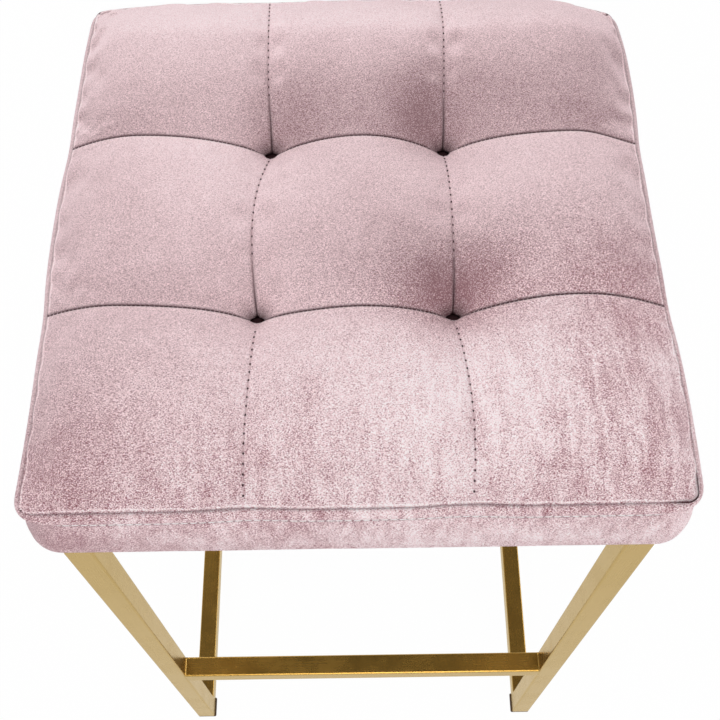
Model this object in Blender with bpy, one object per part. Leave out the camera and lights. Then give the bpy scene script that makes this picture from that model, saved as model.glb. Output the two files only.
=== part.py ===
"""Counter stool: a sled frame of square gold tube under a tufted velvet seat.

Standalone Blender 4.5 script, in metres, with +Z up. The front of the stool faces -Y.
The origin is on the floor, under the middle of the frame.
"""

import math

import bmesh
import bpy
import numpy as np

# Clearances between pieces that touch, and the overrun of a cut
TOUCH_GAP = 0.0003
CUT_OVERRUN = 0.002

# Square tube that the whole frame is made of
TUBE_WIDTH = 0.019
TUBE_WALL = 0.0012
TUBE_CORNER_RADIUS = 0.0016
BORE_CORNER_SHARE = 0.4
TUBE_CORNER_STEPS = 3

# Frame: two mitred side loops, joined by four cross bars
FRAME_WIDTH = 0.380
FRAME_DEPTH = 0.380
FRAME_HEIGHT = 0.620
FOOTREST_TOP = 0.216

# Foot pads, pushed into the floor rails
PAD_THICKNESS = 0.002
PAD_WIDTH = 0.0205
PAD_LENGTH = 0.021
PAD_CORNER_RADIUS = 0.0015
PAD_EDGE_BEVEL = 0.0005
PAD_STEM_DIAMETER = 0.0054
PAD_STEM_LENGTH = 0.006
PAD_STEM_TIP_SHARE = 0.7
PAD_STEM_TAPER_SHARE = 0.6

# Corner plates that the seat is bolted to
PLATE_LEG = 0.046
PLATE_THICKNESS = 0.003
PLATE_NOSE = 0.008
BOLT_INSET = 0.015

# Fasteners of the seat: hexagon bolt, washer and flanged nut for wood
BOLT_DIAMETER = 0.006
BOLT_TIP_DEPTH = 0.0025
BOLT_HEAD_FLATS = 0.010
BOLT_HEAD_HEIGHT = 0.004
BOLT_TIP_BEVEL = 0.0008
WASHER_DIAMETER = 0.0125
WASHER_THICKNESS = 0.0012
NUT_FLANGE_DIAMETER = 0.017
NUT_FLANGE_THICKNESS = 0.0012
NUT_BARREL_DIAMETER = 0.0084
NUT_BARREL_RECESS = 0.0025

# Seat: plan, and the heights of its sewn side
SEAT_OVERHANG = 0.0085
SEAT_REAR_TAPER = 0.003
BOXING_HEIGHT = 0.043
BAND_HEIGHT = 0.0083
BAND_ROLL_IN = 0.003
BOXING_BULGE = 0.003
BOTTOM_ROLL = 0.004
TURN_UNDER = 0.024
TOP_CORNER_RADIUS = 0.009
BOTTOM_CORNER_RADIUS = 0.026
HEM_CORNER_RADIUS = 0.013
REAR_CORNER_TUCK = 0.005
REAR_CORNER_REACH = 0.035
VELVET_THICKNESS = 0.0015
BOARD_THICKNESS = 0.012
BOARD_EDGE_BEVEL = 0.001
DUST_COVER_THICKNESS = 0.0008

# Tufted top: three by three panels, sewn down at four buttons
MIDDLE_PANEL_WIDTH = 0.123
MIDDLE_PANEL_DEPTH = 0.1305
SEAM_CROWN = 0.012
PANEL_PUFF = 0.005
EDGE_ROLL = 0.050
TUFT_DEPTH = 0.020
TUFT_REACH = 0.028
TUFT_WELL_DEPTH = 0.008
TUFT_WELL_WALL = 0.0022
REAR_LEFT_TUFT_DRIFT = 0.0053
TUFT_DRIFT_REACH = 0.040
SEAM_DRAW_IN = 0.002
SEAM_DRAW_REACH = 0.022

# Grid lines of the cloth, as shares of a panel, of a corner's radius, of the band and of the side
MIDDLE_LINE_SHARES = (1 / 3, 2 / 3)
OUTER_LINE_SHARES = (1 / 3, 2 / 3)
CORNER_LINE_SHARES = (1.0, 0.73, 0.42, 0.0)
BAND_LINE_SHARES = (0.0, 0.35, 0.7, 1.0)
BOXING_LINE_SHARES = (0.0, 0.35, 0.7, 1.0)
BULGE_TOP_SHARE = 0.6

# Tuft buttons, their twine, and the washers that anchor it under the board
BUTTON_DIAMETER = 0.012
BUTTON_HEIGHT = 0.0036
BUTTON_RIM = 0.0012
BUTTON_SEAT_MARGIN = 0.0012
TWINE_DIAMETER = 0.0022
TWINE_KNOT_DIAMETER = 0.0052
TWINE_KNOT_HEIGHT = 0.0016
ANCHOR_DIAMETER = 0.013
ANCHOR_THICKNESS = 0.001

# Facets of round pieces
ROUND_STEPS = 16
SMALL_ROUND_STEPS = 12
TWINE_STEPS = 8
ROLL_STEPS = 3
SMOOTH_ANGLE = math.radians(35)

# Levels, from the floor up
FRAME_BOTTOM = PAD_THICKNESS + TOUCH_GAP
FRAME_TOP = FRAME_BOTTOM + FRAME_HEIGHT
PLATE_BOTTOM = FRAME_TOP - PLATE_THICKNESS
SEAT_BOTTOM = FRAME_TOP + TOUCH_GAP
BOARD_BOTTOM = SEAT_BOTTOM + VELVET_THICKNESS + TOUCH_GAP
BOARD_TOP = BOARD_BOTTOM + BOARD_THICKNESS
FOAM_BOTTOM = BOARD_TOP + TOUCH_GAP
LOWER_SEAM = SEAT_BOTTOM + BOXING_HEIGHT
UPPER_SEAM = LOWER_SEAM + BAND_HEIGHT

# Plan of the seat at its lower seam, and of the frame's corners
SEAT_HALF_WIDTH = FRAME_WIDTH / 2 + SEAT_OVERHANG
SEAT_HALF_DEPTH = FRAME_DEPTH / 2 + SEAT_OVERHANG
RAIL_X = (FRAME_WIDTH - TUBE_WIDTH) / 2
CROSS_BAR_Y = (FRAME_DEPTH - TUBE_WIDTH) / 2
INNER_CORNER_X = FRAME_WIDTH / 2 - TUBE_WIDTH
INNER_CORNER_Y = FRAME_DEPTH / 2 - TUBE_WIDTH
BOLT_X = INNER_CORNER_X - BOLT_INSET
BOLT_Y = INNER_CORNER_Y - BOLT_INSET
TUFT_X = MIDDLE_PANEL_WIDTH / 2
TUFT_Y = MIDDLE_PANEL_DEPTH / 2
TUFT_FLOOR_RADIUS = BUTTON_DIAMETER / 2 + BUTTON_SEAT_MARGIN
TUFT_RIM_RADIUS = TUFT_FLOOR_RADIUS + TUFT_WELL_WALL

SIDES = (("left", -1), ("right", 1))
ENDS = (("front", -1), ("rear", 1))


def clear_scene():
    for item in list(bpy.data.objects):
        bpy.data.objects.remove(item, do_unlink=True)


def make_material(name, color, roughness, metallic=0.0):
    material = bpy.data.materials.new(name)
    material.use_nodes = True
    shader = material.node_tree.nodes["Principled BSDF"]
    shader.inputs["Base Color"].default_value = (*color, 1.0)
    shader.inputs["Roughness"].default_value = roughness
    shader.inputs["Metallic"].default_value = metallic
    material.diffuse_color = (*color, 1.0)
    return material


def make_mesh(name, vertices, faces, material, smooth=False):
    mesh = bpy.data.meshes.new(name)
    mesh.from_pydata([tuple(map(float, vertex)) for vertex in vertices], [], faces)
    work = bmesh.new()
    work.from_mesh(mesh)
    bmesh.ops.recalc_face_normals(work, faces=work.faces)
    work.to_mesh(mesh)
    work.free()
    if smooth:
        mesh.shade_smooth()
        mesh.set_sharp_from_angle(angle=SMOOTH_ANGLE)
    mesh.materials.append(material)
    return mesh


def place(name, mesh, location=(0, 0, 0), rotation=(0, 0, 0), parent=None):
    item = bpy.data.objects.new(name, mesh)
    item.location = location
    item.rotation_euler = rotation
    item.parent = parent
    bpy.context.collection.objects.link(item)
    return item


def make_cutter(name, mesh, location=(0, 0, 0)):
    cutter = place(name, mesh, location)
    cutter.hide_render = True
    cutter.display_type = "WIRE"
    return cutter


def cut(item, cutter):
    modifier = item.modifiers.new(cutter.name, "BOOLEAN")
    modifier.operation = "DIFFERENCE"
    modifier.object = cutter


def skin(rings, section_closes=False):
    """Join equal rings of points by quads; the ends are capped, or joined when the section closes."""
    count = len(rings[0])
    vertices = [point for ring in rings for point in ring]
    faces = []
    last = len(rings) if section_closes else len(rings) - 1
    for ring in range(last):
        low = ring * count
        high = (ring + 1) % len(rings) * count
        for step in range(count):
            after = (step + 1) % count
            faces.append((low + step, low + after, high + after, high + step))
    if not section_closes:
        faces.append(tuple(range(count)))
        faces.append(tuple(range(len(vertices) - count, len(vertices))))
    return vertices, faces


def circle(radius, height, steps):
    angles = [2 * math.pi * step / steps for step in range(steps)]
    return [(radius * math.cos(angle), radius * math.sin(angle), height) for angle in angles]


def turned(profile, steps, section_closes=False):
    """A round piece, from (radius, height) pairs."""
    return skin([circle(radius, height, steps) for radius, height in profile], section_closes)


def rounded_outline(width, length, corner_radius, steps):
    """Outline of a rectangle with round corners, centred on its own origin."""
    points = []
    for quarter, (side_x, side_y) in enumerate(((1, 1), (-1, 1), (-1, -1), (1, -1))):
        centre_x = side_x * (width / 2 - corner_radius)
        centre_y = side_y * (length / 2 - corner_radius)
        for step in range(steps + 1):
            angle = math.pi / 2 * (quarter + step / steps)
            x = centre_x + corner_radius * math.cos(angle)
            y = centre_y + corner_radius * math.sin(angle)
            points.append((x, y))
    return points


def round_cutter_mesh(diameter, low, high, material):
    """A plain drill through everything between two heights, with an overrun at each end."""
    profile = ((diameter / 2, low - CUT_OVERRUN), (diameter / 2, high + CUT_OVERRUN))
    return make_mesh("drill", *turned(profile, SMALL_ROUND_STEPS), material)


# Frame

def tube_mesh(name, length, mitred, material):
    """Open square tube along +Z. Its mitres open towards +Y, half a touch gap back from the joint."""
    outer = rounded_outline(TUBE_WIDTH, TUBE_WIDTH, TUBE_CORNER_RADIUS, TUBE_CORNER_STEPS)
    bore_width = TUBE_WIDTH - 2 * TUBE_WALL
    bore_radius = TUBE_CORNER_RADIUS * BORE_CORNER_SHARE
    bore = rounded_outline(bore_width, bore_width, bore_radius, TUBE_CORNER_STEPS)
    joint_gap = TOUCH_GAP / math.sqrt(2)

    def end_ring(outline, high):
        ring = []
        for x, y in outline:
            set_back = (y + TUBE_WIDTH / 2 + joint_gap) if mitred else 0
            ring.append((x, y, length - set_back if high else set_back))
        return ring

    rings = [end_ring(outer, False), end_ring(outer, True), end_ring(bore, True), end_ring(bore, False)]
    return make_mesh(name, *skin(rings, section_closes=True), material, smooth=True)


def build_side_loops(gold, stool):
    upright_mesh = tube_mesh("upright_tube", FRAME_HEIGHT, True, gold)
    rail_mesh = tube_mesh("rail_tube", FRAME_DEPTH, True, gold)
    half_tube = TUBE_WIDTH / 2
    quarter_turn = math.pi / 2
    floor_rails = []
    for side, sign in SIDES:
        x = sign * RAIL_X
        front_place = (x, -CROSS_BAR_Y, FRAME_BOTTOM)
        rear_place = (x, CROSS_BAR_Y, FRAME_BOTTOM)
        floor_place = (x, FRAME_DEPTH / 2, FRAME_BOTTOM + half_tube)
        top_place = (x, -FRAME_DEPTH / 2, FRAME_TOP - half_tube)
        place(f"front_leg_{side}", upright_mesh, front_place, parent=stool)
        place(f"rear_leg_{side}", upright_mesh, rear_place, (0, 0, math.pi), stool)
        place(f"top_rail_{side}", rail_mesh, top_place, (-quarter_turn, 0, 0), stool)
        floor_rail = place(f"floor_rail_{side}", rail_mesh, floor_place, (quarter_turn, 0, 0), stool)
        floor_rails.append(floor_rail)
    return floor_rails


def build_cross_bars(gold, stool):
    """Four square-cut bars between the side loops; the footrest is flush with the front legs."""
    length = FRAME_WIDTH - 2 * TUBE_WIDTH - 2 * TOUCH_GAP
    bar_mesh = tube_mesh("cross_tube", length, False, gold)
    bars = (
        ("front_top_rail", -CROSS_BAR_Y, FRAME_TOP),
        ("rear_top_rail", CROSS_BAR_Y, FRAME_TOP),
        ("footrest_bar", -CROSS_BAR_Y, FOOTREST_TOP),
        ("rear_stretcher", CROSS_BAR_Y, FOOTREST_TOP),
    )
    for name, y, top in bars:
        place(name, bar_mesh, (-length / 2, y, top - TUBE_WIDTH / 2), (0, math.pi / 2, 0), stool)


def build_foot_pads(nylon, floor_rails, stool):
    """Thin pads under the four corners, flush outside, each with a stem plugged into the rail."""
    plan = rounded_outline(PAD_WIDTH, PAD_LENGTH, PAD_CORNER_RADIUS, TUBE_CORNER_STEPS)
    shrink_x = 1 - 2 * PAD_EDGE_BEVEL / PAD_WIDTH
    shrink_y = 1 - 2 * PAD_EDGE_BEVEL / PAD_LENGTH
    stem_steps = len(plan)
    stem_radius = PAD_STEM_DIAMETER / 2
    stem_top = PAD_THICKNESS + PAD_STEM_LENGTH
    taper_start = PAD_THICKNESS + PAD_STEM_LENGTH * PAD_STEM_TAPER_SHARE

    def plan_ring(height, width_share=1.0, length_share=1.0):
        return [(x * width_share, y * length_share, height) for x, y in plan]

    rings = [
        plan_ring(0, shrink_x, shrink_y),
        plan_ring(PAD_EDGE_BEVEL),
        plan_ring(PAD_THICKNESS - PAD_EDGE_BEVEL),
        plan_ring(PAD_THICKNESS, shrink_x, shrink_y),
        circle(stem_radius, PAD_THICKNESS, stem_steps),
        circle(stem_radius, taper_start, stem_steps),
        circle(stem_radius * PAD_STEM_TIP_SHARE, stem_top, stem_steps),
    ]
    # The corner outline starts at its +X side, as the circle does, so the rings need no turning
    pad_mesh = make_mesh("foot_pad", *skin(rings), nylon, smooth=True)
    drill_diameter = PAD_STEM_DIAMETER + 2 * TOUCH_GAP
    drill_mesh = round_cutter_mesh(drill_diameter, FRAME_BOTTOM, FRAME_BOTTOM + TUBE_WALL, nylon)
    for (side, sign), rail in zip(SIDES, floor_rails):
        x = sign * (FRAME_WIDTH - PAD_WIDTH) / 2
        for end, end_sign in ENDS:
            y = end_sign * (FRAME_DEPTH - PAD_LENGTH) / 2
            place(f"foot_pad_{end}_{side}", pad_mesh, (x, y, 0), parent=stool)
            drill = make_cutter(f"pad_drill_{end}_{side}", drill_mesh, (x, y, 0))
            cut(rail, drill)


# Seat fasteners

def plate_outline():
    """Corner plate: a right triangle in the frame's corner, its two far noses cut square."""
    reach = PLATE_LEG
    nose = PLATE_NOSE
    return ((0, 0), (reach, 0), (reach, nose), (nose, reach), (0, reach))


def build_corner_plates(gold, stool):
    outline = plate_outline()
    hole_diameter = BOLT_DIAMETER + 2 * TOUCH_GAP
    drill_mesh = round_cutter_mesh(hole_diameter, PLATE_BOTTOM, FRAME_TOP, gold)
    for side, side_sign in SIDES:
        for end, end_sign in ENDS:
            corner_x = side_sign * (INNER_CORNER_X - TOUCH_GAP)
            corner_y = end_sign * (INNER_CORNER_Y - TOUCH_GAP)
            rings = []
            for height in (0, PLATE_THICKNESS):
                rings.append([(-side_sign * x, -end_sign * y, height) for x, y in outline])
            name = f"corner_plate_{end}_{side}"
            mesh = make_mesh(name, *skin(rings), gold)
            plate = place(name, mesh, (corner_x, corner_y, PLATE_BOTTOM), parent=stool)
            bolt_place = (side_sign * BOLT_X, end_sign * BOLT_Y, 0)
            cut(plate, make_cutter(f"plate_drill_{end}_{side}", drill_mesh, bolt_place))


def hexagon(flats, height, steps):
    """A hexagon with as many points as a circle of the same steps, so the two can be skinned."""
    ring = []
    for step in range(steps):
        angle = 2 * math.pi * step / steps
        nearest_flat = round((angle - math.pi / 6) / (math.pi / 3)) * math.pi / 3 + math.pi / 6
        reach = flats / 2 / math.cos(angle - nearest_flat)
        ring.append((reach * math.cos(angle), reach * math.sin(angle), height))
    return ring


def bolt_mesh(steel):
    """Hexagon bolt, its head below and its tip inside the board; z is counted from the plate's underside."""
    radius = BOLT_DIAMETER / 2
    head_top = -WASHER_THICKNESS - 2 * TOUCH_GAP
    head_bottom = head_top - BOLT_HEAD_HEIGHT
    tip = BOARD_TOP - PLATE_BOTTOM - BOLT_TIP_DEPTH
    steps = SMALL_ROUND_STEPS
    rings = [
        hexagon(BOLT_HEAD_FLATS, head_bottom, steps),
        hexagon(BOLT_HEAD_FLATS, head_top, steps),
        circle(radius, head_top, steps),
        circle(radius, tip - BOLT_TIP_BEVEL, steps),
        circle(radius - BOLT_TIP_BEVEL, tip, steps),
    ]
    return make_mesh("seat_bolt", *skin(rings), steel, smooth=True)


def washer_mesh(steel):
    """Flat washer just under the plate."""
    inner = BOLT_DIAMETER / 2 + TOUCH_GAP
    outer = WASHER_DIAMETER / 2
    top = -TOUCH_GAP
    bottom = top - WASHER_THICKNESS
    profile = ((inner, bottom), (outer, bottom), (outer, top), (inner, top))
    return make_mesh("seat_washer", *turned(profile, ROUND_STEPS, section_closes=True), steel, smooth=True)


def nut_mesh(steel):
    """Flanged nut for wood, its flange on top; z is counted from the top of the board."""
    bore = BOLT_DIAMETER / 2 + TOUCH_GAP
    barrel = NUT_BARREL_DIAMETER / 2
    flange = NUT_FLANGE_DIAMETER / 2
    low = -NUT_FLANGE_THICKNESS
    bottom = NUT_BARREL_RECESS - BOARD_THICKNESS
    profile = ((bore, bottom), (barrel, bottom), (barrel, low), (flange, low), (flange, 0), (bore, 0))
    return make_mesh("board_nut", *turned(profile, ROUND_STEPS, section_closes=True), steel, smooth=True)


def build_fasteners(steel, stool):
    meshes = (
        ("seat_bolt", bolt_mesh(steel), PLATE_BOTTOM),
        ("seat_washer", washer_mesh(steel), PLATE_BOTTOM),
        ("board_nut", nut_mesh(steel), BOARD_TOP),
    )
    for name, mesh, height in meshes:
        for side, side_sign in SIDES:
            for end, end_sign in ENDS:
                spot = (side_sign * BOLT_X, end_sign * BOLT_Y, height)
                place(f"{name}_{end}_{side}", mesh, spot, parent=stool)


# Seat surfaces

def panel_lines(half_size, seam, corner_radius):
    """Grid lines across the seat: three panels, with lines across the tufts and round the corners."""
    across_tuft = [-TUFT_RIM_RADIUS, -TUFT_FLOOR_RADIUS, 0, TUFT_FLOOR_RADIUS, TUFT_RIM_RADIUS]
    first = seam + TUFT_RIM_RADIUS
    span = half_size - corner_radius - first
    outer = [first + span * share for share in OUTER_LINE_SHARES]
    outer += [half_size - corner_radius * share for share in CORNER_LINE_SHARES]
    inner = TUFT_RIM_RADIUS - seam
    middle = [inner - 2 * inner * share for share in MIDDLE_LINE_SHARES]
    lines = [-line for line in reversed(outer)] + [line - seam for line in across_tuft]
    lines += middle + [line + seam for line in across_tuft] + outer
    return np.array(lines)


def seam_pull(along, seam):
    """How strongly a sewn line draws the cloth in, from 1 on the line to 0 away from it."""
    distance = np.minimum(abs(along - seam), abs(along + seam))
    return np.exp(-(distance / SEAM_DRAW_REACH) ** 2)


def square_plan(offset, corner_radius, draw_in=0.0):
    """Crossings of the grid lines on an even square seat, its outline offset from the seam's."""
    half_x = SEAT_HALF_WIDTH + offset
    half_y = SEAT_HALF_DEPTH + offset
    lines_x = panel_lines(half_x, TUFT_X, corner_radius)
    lines_y = panel_lines(half_y, TUFT_Y, corner_radius)
    x, y = np.meshgrid(lines_x, lines_y, indexing="ij")
    pull_x = draw_in * seam_pull(y, TUFT_Y)
    pull_y = draw_in * seam_pull(x, TUFT_X)
    # Square corners are drawn onto their arcs, each point along its ray from the arc's centre
    ray_x = abs(x) - (half_x - corner_radius)
    ray_y = abs(y) - (half_y - corner_radius)
    in_corner = (ray_x > 0) & (ray_y > 0)
    length = np.where(in_corner, np.hypot(ray_x, ray_y), 1.0)
    scale = np.where(in_corner, np.maximum(ray_x, ray_y) / length, 1.0)
    reach_x = np.where(in_corner, half_x - corner_radius + ray_x * scale, abs(x))
    reach_y = np.where(in_corner, half_y - corner_radius + ray_y * scale, abs(y))
    reach_x[0], reach_x[-1] = reach_x[0] - pull_x[0], reach_x[-1] - pull_x[-1]
    reach_y[:, 0], reach_y[:, -1] = reach_y[:, 0] - pull_y[:, 0], reach_y[:, -1] - pull_y[:, -1]
    # Round each tuft the square crossings of the lines are drawn onto circles
    side_x = reach_x - TUFT_X
    side_y = reach_y - TUFT_Y
    furthest = np.maximum(abs(side_x), abs(side_y))
    round_share = furthest / np.maximum(np.hypot(side_x, side_y), TOUCH_GAP)
    at_tuft = furthest < TUFT_RIM_RADIUS + TOUCH_GAP
    reach_x = np.where(at_tuft, TUFT_X + side_x * round_share, reach_x)
    reach_y = np.where(at_tuft, TUFT_Y + side_y * round_share, reach_y)
    return np.sign(x) * reach_x, np.sign(y) * reach_y


def settle(x, y):
    """Move places on the even square seat to where the sewn and filled cover has drawn them.

    The rear corners are softer: cloth near them is tucked towards the middle of the seat.
    The seat narrows to the rear. The rear left tuft was pulled a little towards the middle.
    """
    from_corner = np.hypot(abs(x) - SEAT_HALF_WIDTH, y - SEAT_HALF_DEPTH)
    tuck = REAR_CORNER_TUCK * np.exp(-(from_corner / REAR_CORNER_REACH) ** 2)
    from_tuft = np.hypot(x + TUFT_X, y - TUFT_Y)
    drift = REAR_LEFT_TUFT_DRIFT * np.exp(-(from_tuft / TUFT_DRIFT_REACH) ** 2)
    narrowing = SEAT_REAR_TAPER * (y + SEAT_HALF_DEPTH) / (2 * SEAT_HALF_DEPTH)
    return (x - np.sign(x) * tuck) * (1 - narrowing / SEAT_HALF_WIDTH) + drift, y - tuck


def border(grid):
    """The outermost values of a grid, once round it."""
    return np.concatenate([grid[:-1, 0], grid[-1, :-1], grid[:0:-1, -1], grid[0, :0:-1]])


def outline_ring(offset, corner_radius, height, draw_in=0.0):
    x, y = settle(*square_plan(offset, corner_radius, draw_in))
    ring_x, ring_y = border(x), border(y)
    return np.stack([ring_x, ring_y, np.full_like(ring_x, height)], axis=1)


def crown(x, y):
    """Height of the tufted top over its edge seam."""
    half_x = SEAT_HALF_WIDTH - BAND_ROLL_IN
    half_y = SEAT_HALF_DEPTH - BAND_ROLL_IN
    rise_x = np.sin(math.pi / 2 * np.clip((half_x - abs(x)) / EDGE_ROLL, 0, 1))
    rise_y = np.sin(math.pi / 2 * np.clip((half_y - abs(y)) / EDGE_ROLL, 0, 1))
    rise = rise_x * rise_y
    puff = PANEL_PUFF * panel_wave(x, TUFT_X, half_x) * panel_wave(y, TUFT_Y, half_y)
    distance = np.hypot(abs(x) - TUFT_X, abs(y) - TUFT_Y)
    tuft = TUFT_DEPTH * np.exp(-np.maximum(distance - TUFT_RIM_RADIUS, 0) / TUFT_REACH)
    down_wall = np.clip((TUFT_RIM_RADIUS - distance) / TUFT_WELL_WALL, 0, 1)
    return SEAM_CROWN * rise + puff - tuft * rise - TUFT_WELL_DEPTH * down_wall


def panel_wave(along, seam, half_size):
    """0 on the sewn lines and at the edges, 1 in the middle of each panel."""
    middle = np.cos(math.pi / 2 * along / seam)
    outer = np.sin(math.pi * np.clip((abs(along) - seam) / (half_size - seam), 0, 1))
    return np.where(abs(along) < seam, middle, outer)


def top_grid(offset, corner_radius, lowered, draw_in):
    """The tufted surface as a grid of points, lowered by a thickness."""
    x, y = square_plan(offset, corner_radius, draw_in)
    height = crown(x, y)
    height[0], height[-1] = 0, 0
    height[:, 0], height[:, -1] = 0, 0
    x, y = settle(x, y)
    return np.stack([x, y, UPPER_SEAM - lowered + height], axis=2)


def grid_triangles(rows, columns, start):
    triangles = []
    for row in range(rows - 1):
        for column in range(columns - 1):
            a = start + row * columns + column
            b = a + columns
            triangles += [(a, b, b + 1), (a, b + 1, a + 1)]
    return triangles


def border_indices(rows, columns, start):
    return border(np.arange(rows * columns).reshape(rows, columns)) + start


def band_faces(low_ring, high_ring):
    faces = []
    for step, (low, high) in enumerate(zip(low_ring, high_ring)):
        after = (step + 1) % len(low_ring)
        faces.append((int(low), int(low_ring[after]), int(high_ring[after]), int(high)))
    return faces


def build_velvet_top(velvet, stool):
    """The sewn top: outer and inner faces of the cloth on the same grid, joined round the rim."""
    inset = -BAND_ROLL_IN
    outer = top_grid(inset, TOP_CORNER_RADIUS, 0, SEAM_DRAW_IN)
    inner = top_grid(inset, TOP_CORNER_RADIUS, VELVET_THICKNESS, SEAM_DRAW_IN)
    rows, columns = outer.shape[:2]
    count = rows * columns
    vertices = np.concatenate([outer.reshape(-1, 3), inner.reshape(-1, 3)])
    faces = grid_triangles(rows, columns, 0) + grid_triangles(rows, columns, count)
    faces += band_faces(border_indices(rows, columns, 0), border_indices(rows, columns, count))
    mesh = make_mesh("velvet_top", vertices, faces, velvet, smooth=True)
    return place("velvet_top", mesh, parent=stool)


def side_offset(height):
    """How far the sewn side stands out at a height: rolled in at the band, bulging below it."""
    if height >= LOWER_SEAM:
        climb = (height - LOWER_SEAM) / BAND_HEIGHT
        return -BAND_ROLL_IN * climb ** 2
    drop = (LOWER_SEAM - height) / BOXING_HEIGHT
    return BOXING_BULGE * math.sin(math.pi / 2 * min(drop / BULGE_TOP_SHARE, 1.0))


def side_radius(height):
    """The plan corners widen from the top seam to the bottom."""
    drop = (UPPER_SEAM - height) / (UPPER_SEAM - SEAT_BOTTOM)
    return TOP_CORNER_RADIUS + (BOTTOM_CORNER_RADIUS - TOP_CORNER_RADIUS) * drop


def side_draw(height):
    """The sewn lines draw the side in at the top, and not at all where the board backs it."""
    climb = (height - FOAM_BOTTOM) / (UPPER_SEAM - FOAM_BOTTOM)
    return SEAM_DRAW_IN * max(climb, 0)


def side_ring(height, inward=0.0):
    offset = side_offset(height) - inward
    radius = side_radius(height) - inward
    return outline_ring(offset, radius, height, side_draw(height))


def side_levels():
    """Heights of the rings that the side of the cover and the foam share."""
    return [LOWER_SEAM - (LOWER_SEAM - FOAM_BOTTOM) * share for share in BOXING_LINE_SHARES]


def build_edge_band(velvet, stool):
    """The sewn band between the two seams round the top edge."""
    low = LOWER_SEAM + TOUCH_GAP
    high = UPPER_SEAM - VELVET_THICKNESS - TOUCH_GAP
    levels = [low + (high - low) * share for share in BAND_LINE_SHARES]
    outer = [side_ring(height) for height in levels]
    inner = [side_ring(height, VELVET_THICKNESS) for height in reversed(levels)]
    mesh = make_mesh("edge_band", *skin(outer + inner, section_closes=True), velvet, smooth=True)
    place("edge_band", mesh, parent=stool)


def build_boxing(velvet, stool):
    """The side of the cover: it rounds the bottom edge and turns under the board."""
    roll_top = SEAT_BOTTOM + BOTTOM_ROLL
    levels = side_levels() + [roll_top]
    outer = [side_ring(height) for height in levels]
    inner = [side_ring(height, VELVET_THICKNESS) for height in levels]
    edge_offset = side_offset(roll_top)
    edge_radius = side_radius(roll_top)
    inner_roll = BOTTOM_ROLL - VELVET_THICKNESS
    for step in range(1, ROLL_STEPS + 1):
        angle = math.pi / 2 * step / ROLL_STEPS
        back = 1 - math.cos(angle)
        drop = math.sin(angle)
        outer_in = BOTTOM_ROLL * back
        inner_in = VELVET_THICKNESS + inner_roll * back
        outer_height = roll_top - BOTTOM_ROLL * drop
        inner_height = roll_top - inner_roll * drop
        outer.append(outline_ring(edge_offset - outer_in, edge_radius - outer_in, outer_height))
        inner.append(outline_ring(edge_offset - inner_in, edge_radius - inner_in, inner_height))
    hem_in = edge_offset - TURN_UNDER
    outer.append(outline_ring(hem_in, HEM_CORNER_RADIUS, SEAT_BOTTOM))
    inner.append(outline_ring(hem_in, HEM_CORNER_RADIUS, SEAT_BOTTOM + VELVET_THICKNESS))
    rings = outer + inner[::-1]
    mesh = make_mesh("boxing", *skin(rings, section_closes=True), velvet, smooth=True)
    place("boxing", mesh, parent=stool)


def drill_set(name, places, diameter, low, high, material, steps=SMALL_ROUND_STEPS):
    """One cutter object with a drill at each place."""
    vertices = []
    faces = []
    profile = ((diameter / 2, low), (diameter / 2, high))
    for x, y in places:
        start = len(vertices)
        points, quads = turned(profile, steps)
        vertices += [(x + px, y + py, pz) for px, py, pz in points]
        faces += [tuple(start + index for index in face) for face in quads]
    return make_cutter(name, make_mesh(name, vertices, faces, material))


def corner_places(x, y):
    return [(side_sign * x, end_sign * y) for _, side_sign in SIDES for _, end_sign in ENDS]


def tuft_places():
    return [settle(x, y) for x, y in corner_places(TUFT_X, TUFT_Y)]


def board_rings():
    """The board inside the cover: its lower edge is rounded off where the velvet turns under."""
    roll_top = SEAT_BOTTOM + BOTTOM_ROLL
    beside_velvet = VELVET_THICKNESS + TOUCH_GAP
    levels = (
        (BOARD_BOTTOM, BOTTOM_ROLL + TOUCH_GAP),
        (roll_top, beside_velvet),
        (BOARD_TOP - BOARD_EDGE_BEVEL, beside_velvet),
        (BOARD_TOP, beside_velvet + BOARD_EDGE_BEVEL),
    )
    offset = side_offset(roll_top)
    radius = side_radius(roll_top)
    return [outline_ring(offset - inward, radius - inward, height) for height, inward in levels]


def build_board(plywood, stool):
    mesh = make_mesh("seat_board", *skin(board_rings()), plywood)
    board = place("seat_board", mesh, parent=stool)
    bolts = corner_places(BOLT_X, BOLT_Y)
    tufts = tuft_places()
    below = BOARD_BOTTOM - CUT_OVERRUN
    above = BOARD_TOP + CUT_OVERRUN
    barrel = NUT_BARREL_DIAMETER + 2 * TOUCH_GAP
    flange = NUT_FLANGE_DIAMETER + 2 * TOUCH_GAP
    flange_floor = BOARD_TOP - NUT_FLANGE_THICKNESS - TOUCH_GAP
    anchor = ANCHOR_DIAMETER + 2 * TOUCH_GAP
    anchor_roof = BOARD_BOTTOM + ANCHOR_THICKNESS + TWINE_KNOT_HEIGHT + 2 * TOUCH_GAP
    twine = TWINE_DIAMETER + 2 * TOUCH_GAP
    cut(board, drill_set("nut_holes", bolts, barrel, below, above, plywood))
    cut(board, drill_set("nut_flange_pockets", bolts, flange, flange_floor, above, plywood))
    cut(board, drill_set("anchor_pockets", tufts, anchor, below, anchor_roof, plywood))
    cut(board, drill_set("twine_holes", tufts, twine, below, above, plywood, TWINE_STEPS))


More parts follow.
